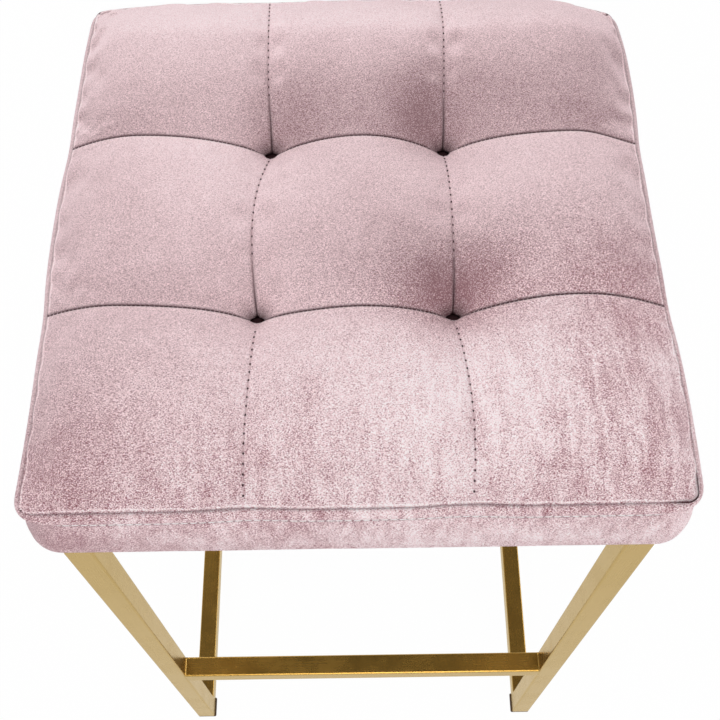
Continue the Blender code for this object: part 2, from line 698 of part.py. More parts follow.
def build_foam(foam, twine_drills, stool):
    """The pad: it fills the cover from the board up, with the same tufted top."""
    inward = VELVET_THICKNESS + TOUCH_GAP
    top_level = UPPER_SEAM - inward
    top_inset = side_offset(top_level) - inward
    top_radius = TOP_CORNER_RADIUS + BAND_ROLL_IN + top_inset
    draw = side_draw(top_level)
    grid = top_grid(top_inset, top_radius, inward, draw)
    rows, columns = grid.shape[:2]
    rings = [side_ring(height, inward) for height in side_levels()]
    vertices = np.concatenate([grid.reshape(-1, 3)] + rings)
    faces = grid_triangles(rows, columns, 0)
    upper = border_indices(rows, columns, 0)
    start = rows * columns
    for _ in rings:
        lower = np.arange(start, start + len(upper))
        faces += band_faces(upper, lower)
        upper = lower
        start += len(lower)
    faces.append(tuple(int(index) for index in upper))
    mesh = make_mesh("foam_pad", vertices, faces, foam, smooth=True)
    pad = place("foam_pad", mesh, parent=stool)
    cut(pad, twine_drills)


def build_dust_cover(fabric, stool):
    """Black cloth in the window that the turned-under velvet leaves open."""
    offset = side_offset(SEAT_BOTTOM + BOTTOM_ROLL) - TURN_UNDER - TOUCH_GAP
    radius = HEM_CORNER_RADIUS - TOUCH_GAP
    high = BOARD_BOTTOM - TOUCH_GAP
    rings = [outline_ring(offset, radius, height) for height in (high - DUST_COVER_THICKNESS, high)]
    mesh = make_mesh("dust_cover", *skin(rings), fabric)
    cover = place("dust_cover", mesh, parent=stool)
    hole = BOLT_DIAMETER + 2 * TOUCH_GAP
    low = high - DUST_COVER_THICKNESS
    bolts = corner_places(BOLT_X, BOLT_Y)
    cut(cover, drill_set("cover_bolt_holes", bolts, hole, low - CUT_OVERRUN, high + CUT_OVERRUN, fabric))


# Tuft buttons

def tuft_level():
    """Height of the cloth under a button."""
    return UPPER_SEAM + float(crown(np.array(TUFT_X), np.array(TUFT_Y)))


def build_tufts(velvet, cord, steel, stool):
    """Each covered button sits in its pit, tied through the foam to a washer under the board."""
    base = tuft_level() + TOUCH_GAP
    radius = BUTTON_DIAMETER / 2
    dome = [(radius, BUTTON_RIM)]
    for step in range(1, ROLL_STEPS + 1):
        angle = math.pi / 2 * step / (ROLL_STEPS + 1)
        height = BUTTON_RIM + (BUTTON_HEIGHT - BUTTON_RIM) * math.sin(angle)
        dome.append((radius * math.cos(angle), height))
    button = make_mesh("tuft_button", *turned([(radius, 0)] + dome, SMALL_ROUND_STEPS), velvet, smooth=True)

    anchor_low = BOARD_BOTTOM + TWINE_KNOT_HEIGHT + TOUCH_GAP
    twine_radius = TWINE_DIAMETER / 2
    knot_radius = TWINE_KNOT_DIAMETER / 2
    knot_top = anchor_low - TOUCH_GAP
    twine_top = base - TOUCH_GAP
    twine_profile = (
        (knot_radius, BOARD_BOTTOM),
        (knot_radius, knot_top),
        (twine_radius, knot_top),
        (twine_radius, twine_top),
    )
    twine = make_mesh("tuft_twine", *turned(twine_profile, TWINE_STEPS), cord, smooth=True)

    hole = twine_radius + TOUCH_GAP
    washer_radius = ANCHOR_DIAMETER / 2
    washer_profile = (
        (hole, 0),
        (washer_radius, 0),
        (washer_radius, ANCHOR_THICKNESS),
        (hole, ANCHOR_THICKNESS),
    )
    washer = make_mesh(
        "twine_anchor", *turned(washer_profile, SMALL_ROUND_STEPS, section_closes=True), steel, smooth=True)

    for side, side_sign in SIDES:
        for end, end_sign in ENDS:
            x, y = settle(side_sign * TUFT_X, end_sign * TUFT_Y)
            place(f"tuft_button_{end}_{side}", button, (x, y, base), parent=stool)
            place(f"tuft_twine_{end}_{side}", twine, (x, y, 0), parent=stool)
            place(f"twine_anchor_{end}_{side}", washer, (x, y, anchor_low), parent=stool)


def main():
    clear_scene()
    gold = make_material("satin_gold", (0.72, 0.55, 0.30), 0.32, 1.0)
    velvet = make_material("pink_velvet", (0.78, 0.58, 0.60), 0.85)
    plywood = make_material("birch_plywood", (0.66, 0.49, 0.30), 0.7)
    foam = make_material("seat_foam", (0.88, 0.84, 0.66), 0.95)
    black_cloth = make_material("black_lining", (0.03, 0.03, 0.03), 0.95)
    steel = make_material("zinc_steel", (0.62, 0.63, 0.64), 0.35, 1.0)
    nylon = make_material("brown_nylon", (0.10, 0.06, 0.03), 0.5)
    cord = make_material("waxed_twine", (0.80, 0.76, 0.66), 0.8)

    stool = bpy.data.objects.new("stool", None)
    bpy.context.collection.objects.link(stool)

    floor_rails = build_side_loops(gold, stool)
    build_cross_bars(gold, stool)
    build_foot_pads(nylon, floor_rails, stool)
    build_corner_plates(gold, stool)
    build_fasteners(steel, stool)

    build_board(plywood, stool)
    hole = TWINE_DIAMETER + 2 * TOUCH_GAP
    above = UPPER_SEAM + SEAM_CROWN + PANEL_PUFF + CUT_OVERRUN
    below = FOAM_BOTTOM - CUT_OVERRUN
    twine_drills = drill_set("twine_drills", tuft_places(), hole, below, above, foam, TWINE_STEPS)
    build_foam(foam, twine_drills, stool)
    velvet_top = build_velvet_top(velvet, stool)
    cut(velvet_top, twine_drills)
    build_edge_band(velvet, stool)
    build_boxing(velvet, stool)
    build_dust_cover(black_cloth, stool)
    build_tufts(velvet, cord, steel, stool)


main()
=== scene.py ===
"""Finish of a counter stool: tufted velvet seat, satin gold tube frame, underside and studio.

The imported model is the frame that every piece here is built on. Lengths are in metres.
"""

import math

import bmesh
import bpy
import numpy as np
from bpy.props import FloatProperty, FloatVectorProperty, IntProperty, PointerProperty
from bpy.types import Operator, Panel, PropertyGroup
from mathutils import Matrix, Vector


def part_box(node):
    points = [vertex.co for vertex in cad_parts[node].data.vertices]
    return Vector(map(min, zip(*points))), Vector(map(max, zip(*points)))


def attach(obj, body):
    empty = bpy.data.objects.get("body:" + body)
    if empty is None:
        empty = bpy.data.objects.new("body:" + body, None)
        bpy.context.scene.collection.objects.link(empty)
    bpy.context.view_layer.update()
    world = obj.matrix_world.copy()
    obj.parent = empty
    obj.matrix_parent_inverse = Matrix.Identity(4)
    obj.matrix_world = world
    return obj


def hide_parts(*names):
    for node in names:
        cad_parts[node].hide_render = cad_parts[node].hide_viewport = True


bl_info = {
    "name": "Counter Stool Finish",
    "version": (1, 0, 0),
    "blender": (4, 5, 0),
    "location": "3D View > Sidebar > Stool",
    "description": "Builds the tufted velvet seat, the satin gold frame and the studio of a counter stool",
    "category": "Object",
}

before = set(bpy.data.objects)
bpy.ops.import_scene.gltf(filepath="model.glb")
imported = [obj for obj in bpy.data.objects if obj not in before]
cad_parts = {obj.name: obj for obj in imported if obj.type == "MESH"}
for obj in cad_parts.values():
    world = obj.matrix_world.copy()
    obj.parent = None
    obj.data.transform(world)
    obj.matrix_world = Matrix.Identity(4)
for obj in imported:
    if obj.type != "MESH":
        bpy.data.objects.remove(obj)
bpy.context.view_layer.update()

SIDES = ("left", "right")
ENDS = ("front", "rear")

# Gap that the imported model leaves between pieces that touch
TOUCH = 0.0003


def span(node):
    """Lowest and highest corner of a node, as arrays."""
    low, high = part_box(node)
    return np.array(low), np.array(high)


def centre(node):
    """Middle of a node's box."""
    low, high = span(node)
    return (low + high) / 2


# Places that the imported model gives. Cloth is the thickness of the cover
TUBE = float(np.ptp(span("front_leg_left"), axis=0)[0])
FRAME_LOW = np.minimum(span("floor_rail_left")[0], span("front_leg_left")[0])
FRAME_HIGH = np.maximum(span("top_rail_right")[1], span("rear_leg_right")[1])
BOARD_LOW, BOARD_HIGH = span("seat_board")
SEAT_BOTTOM = float(span("boxing")[0][2])
LOWER_SEAM = float(span("boxing")[1][2])
CLOTH = float(BOARD_LOW[2]) - SEAT_BOTTOM - TOUCH
UPPER_SEAM = float(span("edge_band")[1][2]) + CLOTH + TOUCH
SEAT_HALF = span("edge_band")[1][:2].astype(float)
TUFTS = {(end, side): centre(f"tuft_button_{end}_{side}") for end in ENDS for side in SIDES}
BUTTON_LOW, BUTTON_HIGH = span("tuft_button_front_left")
BUTTON_BASE = float(BUTTON_LOW[2]) - TOUCH
BUTTON_TOP = float(BUTTON_HIGH[2])
BUTTON_RADIUS = float(BUTTON_HIGH[0] - BUTTON_LOW[0]) / 2

# On the even seat the seams lie as far out as the front right button does. Long seams run from front
# to rear, cross seams from side to side
SEAM_PLACE = abs(TUFTS["front", "right"][:2])
LONG_SEAM, CROSS_SEAM = SEAM_PLACE
SIGN = {"left": -1, "right": 1, "front": -1, "rear": 1}

# Cross bars between the side loops, and whether each has a weld fillet below and above
CROSS_BARS = (
    ("front_top_rail", 1, 0),
    ("rear_top_rail", 1, 0),
    ("footrest_bar", 1, 1),
    ("rear_stretcher", 1, 1),
)


def whole(name, description, default):
    return IntProperty(name=name, description=description, default=default)


def amount(name, description, default, **kind):
    return FloatProperty(name=name, description=description, default=default, **kind)


def length(name, description, default):
    return amount(name, description, default, unit="LENGTH", precision=5)


def share(name, description, default):
    return amount(name, description, default, subtype="FACTOR")


def angle(name, description, default):
    return amount(name, description, default, unit="ROTATION")


def power(name, description, default):
    return amount(name, description, default, unit="POWER")


def colour(name, description, default):
    return FloatVectorProperty(
        name=name, description=description, default=default, subtype="COLOR", size=3, min=0, max=1)


class CushionSizes(PropertyGroup):
    """Sizes of the tufted seat cushion."""

    steps: whole("Steps", "Grid steps across each of the three panels", 80)
    gather: share("Gather", "How closely the grid lines are gathered at the seams", 0.84)
    crown: length("Crown", "Height of the panel seams over the edge seam", 0.0140)
    crown_roll: length("Crown roll", "How far in from the edge the top has risen to its crown", 0.050)
    puff: length("Puff", "Height of each panel's middle over its seams", 0.0070)
    puff_power: share("Puff power", "Below 1 the panels rise more steeply beside their seams", 0.80)
    pit_depth: length("Pit depth", "How far each tuft draws the top down", 0.0200)
    pit_reach: length("Pit reach", "Distance over which a tuft's pull fades", 0.028)
    funnel_depth: length("Funnel depth", "Depth of the soft funnel behind each well", 0.0040)
    funnel_reach: length("Funnel reach", "Distance over which the funnel fades", 0.0078)
    well_floor: length("Well floor", "Radius of the floor that a button sits on", 0.0068)
    lip_side: length("Lip, sideways", "Half the width of a well's mouth", 0.0048)
    lip_front: length("Lip, front", "Distance from a front tuft to the front lip of its well", 0.0029)
    lip_behind: length("Lip, behind", "Distance from a rear tuft to the front lip of its well", 0.0042)
    lip_rear: length("Lip, rear", "Distance from a tuft to the rear lip of its well", 0.0034)
    lip_notch: length("Lip notch", "How far the rear fold notches the lip of a well", 0.0026)
    cross_groove: length("Cross groove", "Depth of the seams that run from side to side", 0.0022)
    long_groove: length("Long groove", "Depth of the seams that run from front to rear", 0.0005)
    groove_reach: length("Groove reach", "Distance over which a seam's groove fades", 0.0008)
    fold_depth: length("Fold depth", "Depth of the fold behind each tuft", 0.0042)
    fold_reach: length("Fold reach", "Length over which the fold behind a tuft fades", 0.030)
    lean: length("Lean", "How far the panel in front leans over a cross seam", 0.0005)
    front_bow: length("Front bow", "How far the long seams bow outwards in the front row", 0.0050)
    middle_bow: length("Middle bow", "How far the long seams bow outwards in the middle row", 0.0035)
    rear_bow: length("Rear bow", "How far the right long seam swings out in the rear row", 0.0040)
    back_bow: length("Back bow", "How far the rear edge bows backwards", 0.0036)
    front_set: length("Front set", "How far the loose front edge lies back at the right", 0.0016)
    slimmer: length("Slimmer", "How much each side of the loose cover stands in from the packed one", 0.0010)
    deeper: length("Deeper", "How much the front and rear of the loose cover stand out", 0.0008)
    firm_tuck: length("Firm tuck", "How far the rear corners are tucked in beside the board", 0.0050)
    left_tuck: length("Left tuck", "How far the loose rear left corner is tucked in", 0.0031)
    right_tuck: length("Right tuck", "How far the loose rear right corner is tucked sideways", 0.0017)
    right_sink: length("Right sink", "How far the loose rear right corner is tucked forwards", 0.0130)
    tuck_reach: length("Tuck reach", "Distance over which the tuck of a rear corner fades", 0.035)
    firm_taper: length("Firm taper", "How much narrower each side is at the rear beside the board", 0.0030)
    taper: length("Taper", "How much narrower each side of the loose cover is at the rear", 0.0059)
    shift: length("Shift", "How far the loose cover lies to the right", 0.0004)
    sway: length("Sway", "How far each row of panels swings sideways", 0.0014)
    hold_reach: length("Hold reach", "Distance over which a button holds the cover in its place", 0.040)
    draw_in: length("Draw-in", "How far each seam draws the side in", 0.0012)
    draw_reach: length("Draw reach", "Distance along the side over which the draw-in fades", 0.022)
    draw_inward: length("Draw inward", "Distance from the edge over which the draw-in fades", 0.015)
    top_radius: length("Top radius", "Plan radius of the corners at the upper edge seam", 0.0070)
    seam_radius: length("Seam radius", "Plan radius of the corners at the lower edge seam", 0.0290)
    low_radius: length("Low radius", "Plan radius of the corners at the bottom", 0.0232)
    hem_radius: length("Hem radius", "Plan radius of the corners of the turned hem", 0.0130)
    band_roll: length("Band roll", "How far the band leans in towards the top", 0.0031)
    band_puff: length("Band puff", "How far the band swells between its two seams", 0.0013)
    edge_groove: length("Edge groove", "Depth of the upper seam round the edge", 0.0006)
    low_groove: length("Low groove", "Depth of the lower seam round the edge", 0.0004)
    edge_reach: length("Edge reach", "Distance over which the edge seams' grooves fade", 0.0006)
    corner_gap: length("Corner gap", "Depth of the gap in the upper seam's front right corner", 0.0024)
    gap_reach: length("Gap reach", "Distance over which that gap closes", 0.021)
    bulge: length("Bulge", "How far the side swells below the band", 0.0036)
    corner_slack: length("Corner slack", "How far the side's corners sink in below the lower seam", 0.0012)
    ripple: length("Ripple", "Height of the faint waves along the side", 0.0004)
    bottom_roll: length("Bottom roll", "Radius of the bottom edge", 0.0040)
    turn_under: length("Turn under", "How far the cover turns in under the seat", 0.0240)
    # Painted shade on the slopes that face the front, as the light falls from the rear
    slope_shade: amount("Slope tone", "How much darker the pile looks on a slope to the front", 1.65)
    slope_most: share("Slope most", "The most that a slope changes the pile's tone", 0.27)
    # Painted highlight on the lip of the upper seam
    rim_highlight: share("Rim light", "How much lighter the pile is on the lip of the upper seam", 0.6)
    rim_inset: length("Rim inset", "Distance of that lip from the upper seam", 0.0013)
    cloth_skip: whole("Cloth skip", "Grid steps to each step of the cloth grid", 4)
    cloth_frames: whole("Cloth frames", "Steps of the cloth simulation", 20)
    pressure: amount("Pressure", "Pressure of the filling on the cloth", 3.0)
    spare_cloth: share("Spare cloth", "How much larger the cloth was cut than the shape it covers", 0.018)
    cloth_fade: length("Cloth fade", "Distance from a cross seam at which the cloth moves in full", 0.024)
    cloth_cap: length("Cloth cap", "The most that the cloth simulation may move a point", 0.0022)


# Meshes and their pieces

def make_mesh(name, points, face_sets, corner_uv=None):
    """A mesh from an array of points and arrays of faces, one array for each number of corners."""
    corners = np.concatenate([faces.ravel() for faces in face_sets])
    sizes = np.concatenate([np.full(len(faces), faces.shape[1]) for faces in face_sets])
    mesh = bpy.data.meshes.new(name)
    mesh.vertices.add(len(points))
    mesh.vertices.foreach_set("co", np.asarray(points, np.float32).ravel())
    mesh.loops.add(len(corners))
    mesh.loops.foreach_set("vertex_index", corners.astype(np.int32))
    mesh.polygons.add(len(sizes))
    mesh.polygons.foreach_set("loop_start", (np.cumsum(sizes) - sizes).astype(np.int32))
    if corner_uv is not None:
        layer = mesh.uv_layers.new(name="surface")
        layer.uv.foreach_set("vector", np.asarray(corner_uv, np.float32).ravel())
    mesh.update(calc_edges=True)
    mesh.validate()
    return mesh


# Faces where this mask is 1 get painted shade, a copy of the velvet without its sheen: they lie deep in a
# seam or well, and every corner's crease shade is over the threshold below there
SHEENLESS_MASK = "deep"
SHEENLESS_FROM = 0.45


def mark_sheenless_shade(mesh, crease):
    """Mark the faces whose corners all lie deep in the painted crease shade, to be shaded by a copy without
    sheen.
    """
    corners = np.empty(len(mesh.loops), np.int32)
    starts = np.empty(len(mesh.polygons), np.int32)
    mesh.loops.foreach_get("vertex_index", corners)
    mesh.polygons.foreach_get("loop_start", starts)
    deep = np.minimum.reduceat(crease[corners], starts) > SHEENLESS_FROM
    mesh.attributes.new(SHEENLESS_MASK, "INT", "FACE").data.foreach_set("value", deep.astype(np.int32))


def face_outwards(mesh):
    """Turn every face of a mesh outwards, and give the mesh back."""
    work = bmesh.new()
    work.from_mesh(mesh)
    bmesh.ops.recalc_face_normals(work, faces=work.faces)
    work.to_mesh(mesh)
    work.free()
    return mesh


def add_object(name, data):
    """A new object in the scene that holds a mesh, a lamp or a camera."""
    item = bpy.data.objects.new(name, data)
    bpy.context.scene.collection.objects.link(item)
    return item


def add_piece(mesh, material, replaced=()):
    """Show a mesh as a piece of the stool: it rides on the one body and stands for the replaced nodes."""
    mesh.materials.append(material)
    # Painted shade: faces under the sheenless mask take the shaded copy of the material
    if SHEENLESS_MASK in mesh.attributes:
        mesh.materials.append(sheenless_shade_copy(material))
        deep = np.empty(len(mesh.polygons), np.int32)
        mesh.attributes[SHEENLESS_MASK].data.foreach_get("value", deep)
        mesh.polygons.foreach_set("material_index", deep)
    mesh.shade_smooth()
    piece = add_object(mesh.name, mesh)
    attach(piece, "root")
    if replaced:
        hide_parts(*replaced)
    return piece


def lattice(rows, columns, wrap_rows=False, wrap_columns=False):
    """Quads of a grid of points, and the same quads numbered on a grid that doesn't wrap, for its UV map."""
    row, column = np.meshgrid(
        np.arange(rows - (not wrap_rows)), np.arange(columns - (not wrap_columns)), indexing="ij")
    corners = ((row, column), (row + 1, column), (row + 1, column + 1), (row, column + 1))
    quads = [(r % rows) * columns + c % columns for r, c in corners]
    flat = [r * (columns + 1) + c for r, c in corners]
    return np.stack(quads, axis=-1).reshape(-1, 4), np.stack(flat, axis=-1).reshape(-1, 4)


def closed_tube(rings, columns):
    """Faces of a closed tube: its quads, the same quads numbered for a UV map, and its two ends."""
    quads, flat = lattice(rings, columns, wrap_columns=True)
    ends = np.arange(rings * columns).reshape(rings, columns)[[0, -1]]
    return quads, flat, ends


def ease(value):
    """0 below 0, 1 above 1, and 3 v^2 - 2 v^3 between."""
    value = np.clip(value, 0, 1)
    return value * value * (3 - 2 * value)


def fade(distance, reach):
    """exp(-(d / reach)^2): 1 where the distance is 0, and next to nothing beyond twice the reach."""
    return np.exp(-(distance / reach) ** 2)


def running_length(path, closed=False):
    """Length of a path up to each of its points; a closed one ends at its first point again."""
    if closed:
        path = np.concatenate([path, path[:1]])
    return np.concatenate([[0], np.cumsum(np.linalg.norm(np.diff(path, axis=0), axis=1))])


def set_mask(mesh, name, values):
    """Store a value at each point, which the materials read by its name."""
    layer = mesh.attributes.new(name, "FLOAT", "POINT")
    layer.data.foreach_set("value", np.asarray(values, np.float32).ravel())


# Plan of the seat. Across and along count panels from the middle of the seat
SEAM_COUNT = 0.5
EDGE_COUNT = 1.5


def panel_place(count, seam, half):
    """Place of a panel count: even steps up to the seam, then steps of the outer panel's width."""
    inner = np.minimum(abs(count), SEAM_COUNT) / SEAM_COUNT * seam
    outer = np.maximum(abs(count) - SEAM_COUNT, 0) * (half - seam)
    return np.sign(count) * (inner + outer)


def to_rim(across, along):
    """Distance from the edge of the top, at panel counts across and along."""
    return (EDGE_COUNT - np.maximum(abs(across), abs(along))) * (SEAT_HALF[0] - LONG_SEAM)


def to_seam(place, seam):
    """Distance to the nearer one of a pair of seams."""
    return abs(abs(place) - seam)


def past_seam(place, seam):
    """Place less that of the seam on its side of the middle."""
    return place - np.where(place > 0, seam, -seam)


def gathered_counts(size):
    """Panel counts of the grid lines: t - g sin(2 pi t) / 2 pi, gathered at every seam and edge."""
    t = np.arange(3 * size.steps + 1) / size.steps
    return t - size.gather * np.sin(2 * np.pi * t) / (2 * np.pi) - EDGE_COUNT


def even_plan(across, along, offset, radius, draw, loose, size):
    """Places on an even square seat.

    Square corners are drawn onto arcs along rays from the arcs' centres, by the longer side of the
    ray over its length. Each seam draws the edge in, by draw times exp(-(d / reach)^2), fading
    inwards. Loose runs from 0 beside the board to 1 at the edge seams and on the top.
    """
    half_x = SEAT_HALF[0] + offset - size.slimmer * loose
    half_y = SEAT_HALF[1] + offset + size.deeper * loose
    x = panel_place(across, LONG_SEAM, half_x)
    y = panel_place(along, CROSS_SEAM, half_y)
    ray_x = abs(x) - (half_x - radius)
    ray_y = abs(y) - (half_y - radius)
    cornered = (ray_x > 0) & (ray_y > 0)
    scale = np.where(cornered, np.maximum(ray_x, ray_y) / np.hypot(ray_x, ray_y).clip(TOUCH), 1)
    reach_x = np.where(cornered, half_x - radius + ray_x * scale, abs(x))
    reach_y = np.where(cornered, half_y - radius + ray_y * scale, abs(y))
    pull_x = draw * fade(to_seam(y, CROSS_SEAM), size.draw_reach)
    pull_x = pull_x * np.exp((abs(x) - half_x) / size.draw_inward)
    pull_y = draw * fade(to_seam(x, LONG_SEAM), size.draw_reach)
    pull_y = pull_y * np.exp((abs(y) - half_y) / size.draw_inward)
    return np.sign(x) * (reach_x - pull_x), np.sign(y) * (reach_y - pull_y)


# Where the filling pushes a cross seam rearwards, or lets it lie forwards: place, reach and how far
SEAM_SWINGS = (
    ((0.130, -0.065), (0.042, 0.030), 0.0038),
    ((-0.030, -0.065), (0.024, 0.030), -0.0012),
    ((0.012, 0.065), (0.034, 0.030), 0.0026),
    ((-0.128, 0.065), (0.034, 0.030), 0.0016),
    ((0.184, 0.065), (0.022, 0.030), -0.0030),
)

# The rear edge's bow fades forwards as this power of the place
BOW_POWER = 6

# Share of the seat's depth over which the set of the front edge fades
FRONT_SHARE = 0.2

# In the front row a long seam bows by this share of a half sine wave
FRONT_HUMP = 0.75


def relax(x, y, loose, size):
    """Move places on the even seat to where the filled cover settles.

    The rear corners are tucked in by exp(-(d / reach)^2), the rear edge bows back, the sides close in
    steadily towards the rear, the three rows of panels swing sideways as a sine wave, the front edge
    lies back at the right, and each of SEAM_SWINGS moves its seam by exp(-(d / reach)^2).
    """
    rearward = ((y + SEAT_HALF[1]) / (2 * SEAT_HALF[1])).clip(0, 1)
    tuck = fade(np.hypot(abs(x) - SEAT_HALF[0], y - SEAT_HALF[1]), size.tuck_reach)
    aside = np.where(x > 0, size.right_tuck, size.left_tuck)
    forwards = np.where(x > 0, size.right_sink, size.left_tuck)
    aside = size.firm_tuck + (aside - size.firm_tuck) * loose
    forwards = size.firm_tuck + (forwards - size.firm_tuck) * loose
    narrowing = (size.firm_taper + (size.taper - size.firm_taper) * loose) * rearward
    swing = (size.shift + size.sway * np.sin(3 * np.pi * rearward)) * loose
    bow = size.back_bow * loose * (y / SEAT_HALF[1]).clip(0, 1) ** BOW_POWER
    bow = bow * (1 - (x / SEAT_HALF[0]) ** 2).clip(0, 1)
    relaxed_x = (x - np.sign(x) * aside * tuck) * (1 - narrowing / SEAT_HALF[0]) + swing
    rightward = (x / SEAT_HALF[0] + 1) / 2
    set_back = size.front_set * loose * rightward * ease(1 - rearward / FRONT_SHARE)
    for place, reach, rearwards in SEAM_SWINGS:
        away = ((x - place[0]) / reach[0]) ** 2 + ((y - place[1]) / reach[1]) ** 2
        set_back = set_back + rearwards * loose * np.exp(-away)
    return relaxed_x, y - forwards * tuck + bow + set_back


def settle(x, y, loose, size):
    """Relax places, then draw the cover round each tuft so that its well lies over its button.

    The draw fades with the distance from the tuft as exp(-(d / reach)^2).
    """
    settled_x, settled_y = relax(x, y, loose, size)
    for (end, side), place in TUFTS.items():
        at = SEAM_PLACE * (SIGN[side], SIGN[end])
        pull = place[:2] - relax(at[0], at[1], 1, size)
        hold = fade(np.hypot(x - at[0], y - at[1]), size.hold_reach)
        settled_x, settled_y = settled_x + pull[0] * hold, settled_y + pull[1] * hold
    return settled_x, settled_y


def seam_bow(x, y, size):
    """How far a long seam bows outwards, faded from the seam both ways.

    It follows a part of a sine wave in the front row and a half cosine wave in the middle row, and in
    the rear row the right seam swings out.
    """
    near_seam = np.interp(abs(x), (0, LONG_SEAM, SEAT_HALF[0]), (0, 1, 0))
    outer_row = SEAT_HALF[1] - CROSS_SEAM
    front = ((-y - CROSS_SEAM) / outer_row).clip(0, 1)
    rear = ((y - CROSS_SEAM) / outer_row).clip(0, 1)
    middle = np.cos(np.pi / 2 * (y / CROSS_SEAM).clip(-1, 1))
    bow = size.front_bow * np.sin(FRONT_HUMP * np.pi * front) + size.middle_bow * middle
    bow = bow + np.where(x > 0, size.rear_bow, 0) * ease(rear)
    return np.sign(x) * bow * ease(near_seam)


# Height of the tufted top. The roll at its edge is a quarter sine wave to this power
ROLL_POWER = 0.85

# Width over which the funnel behind a well is cut off at the cross seam
FUNNEL_CUT = 0.0006

# Distance from the edge within which the panel seams' grooves run out
GROOVE_END = 0.004


def panel_wave(along, seam, half):
    """0 on the seams and edges, 1 in the middle of each panel: cos inside the seams, sin outside."""
    inside = np.cos(np.pi / 2 * (along / seam).clip(-1, 1))
    outside = np.sin(np.pi * ((abs(along) - seam) / (half - seam)).clip(0, 1))
    return np.where(abs(along) < seam, inside, outside)


def edge_rise(along, half, roll):
    """0 at the edge, 1 from the end of the roll inwards: a power of a quarter sine wave."""
    return np.sin(np.pi / 2 * ((half - abs(along)) / roll).clip(0, 1)) ** ROLL_POWER


def behind_tuft(y, size):
    """Fold behind each tuft, along its long seam: 1 at the tuft, fading as exp(-d / reach) to the rear."""
    back = past_seam(y, CROSS_SEAM)
    return np.where(back > 0, np.exp(-back.clip(0) / size.fold_reach), 0)


def funnel(x, y, size):
    """Soft funnel behind each well, exp(-(d / reach)^2), cut off along the cross seam."""
    back = past_seam(y, CROSS_SEAM)
    from_tuft = np.hypot(to_seam(x, LONG_SEAM), back)
    return fade(from_tuft, size.funnel_reach) * ease(back / FUNNEL_CUT + 0.5)


def near_gap(x, y, size):
    """1 at the front right corner, fading as exp(-(d / reach)^2)."""
    return fade(np.hypot(x - SEAT_HALF[0], y + SEAT_HALF[1]), size.gap_reach)


def crown_height(x, y, size):
    """Height over the edge seam: crown and panel puffs, less the pits of the tufts and the grooves."""
    half_x = SEAT_HALF[0] - size.slimmer - size.band_roll
    half_y = SEAT_HALF[1] + size.deeper - size.band_roll
    rise = edge_rise(x, half_x, size.crown_roll) * edge_rise(y, half_y, size.crown_roll)
    puffed = panel_wave(x, LONG_SEAM, half_x) * panel_wave(y, CROSS_SEAM, half_y)
    pits = 0
    for side in (-1, 1):
        for end in (-1, 1):
            distance = np.hypot(x - side * LONG_SEAM, y - end * CROSS_SEAM)
            pits = pits + np.exp(-(distance - size.lip_side).clip(0) / size.pit_reach)
    grooves = size.cross_groove * np.exp(-to_seam(y, CROSS_SEAM) / size.groove_reach)
    long_depth = size.long_groove + (size.fold_depth - size.long_groove) * behind_tuft(y, size)
    grooves = np.maximum(grooves, long_depth * np.exp(-to_seam(x, LONG_SEAM) / size.groove_reach))
    grooves = grooves + size.funnel_depth * funnel(x, y, size)
    height = size.crown * rise + size.puff * puffed.clip(0) ** size.puff_power - size.pit_depth * pits * rise
    edge = np.minimum(half_x - abs(x), half_y - abs(y)).clip(0)
    edge_depth = size.edge_groove + size.corner_gap * near_gap(x, y, size)
    return height - grooves * ease(edge / GROOVE_END) - edge_depth * np.exp(-edge / size.edge_reach)


# The grid is gathered into each well, so that its floor, wall and lip have lines enough
WELL_LINES = (0.0045, 0.0085, 0.0130)

# How far round the mouth the rear fold notches it, as the sine of the angle from straight back
NOTCH_TURN = 0.25

# Least distance from a tuft's middle, where it is divided by
NOT_ZERO = 1e-9


def well(x, y, size):
    """Draw the plan round each tuft into a flask: a round floor under a narrow oval mouth.

    By the distance from the tuft, the first stretch spreads out to the floor, the second climbs the
    wall to the mouth, and the third widens from the mouth to the cloth outside. Gives the new places
    and the share of the drop from the mouth to the floor.
    """
    floor_end, wall_end, outside = WELL_LINES
    away_x, away_y = past_seam(x, LONG_SEAM), past_seam(y, CROSS_SEAM)
    distance = np.hypot(away_x, away_y).clip(NOT_ZERO)
    turn_x, turn_y = away_x / distance, away_y / distance
    lip_y = np.where(turn_y > 0, size.lip_rear, np.where(y > 0, size.lip_behind, size.lip_front))
    mouth = 1 / np.hypot(turn_x / size.lip_side, turn_y / lip_y)
    mouth = mouth + size.lip_notch * fade(turn_x, NOTCH_TURN) * (turn_y > 0)
    climb = ((distance - floor_end) / (wall_end - floor_end)).clip(0, 1)
    spread = ease((distance - wall_end) / (outside - wall_end))
    radius = size.well_floor * (distance / floor_end).clip(0, 1) * (1 - climb) + mouth * climb
    radius = radius * (1 - spread) + distance * spread
    inside = distance < outside
    drawn_x, drawn_y = x - away_x + turn_x * radius, y - away_y + turn_y * radius
    return np.where(inside, drawn_x, x), np.where(inside, drawn_y, y), np.where(inside, 1 - ease(climb), 0)


# Distance from a cross seam at which the panel in front leans over it the most
LEAN_REACH = 0.0015

# Painted shade in the creases, how dark and how wide: cross seams, wells and the funnels behind them, long
# seams and the folds in them, the upper edge seam, and the gap that opens in its front right corner
CROSS_CREASE = 0.0011
WELL_SHADE = 1.6
FUNNEL_SHADE, FUNNEL_POWER = 0.95, 1.2
LONG_SHADE, LONG_CREASE = 0.05, 0.0008
FOLD_SHADE = 1.2
EDGE_SHADE, EDGE_CREASE = 0.6, 0.0003
GAP_SHADE, GAP_CREASE = 1.2, 0.0011


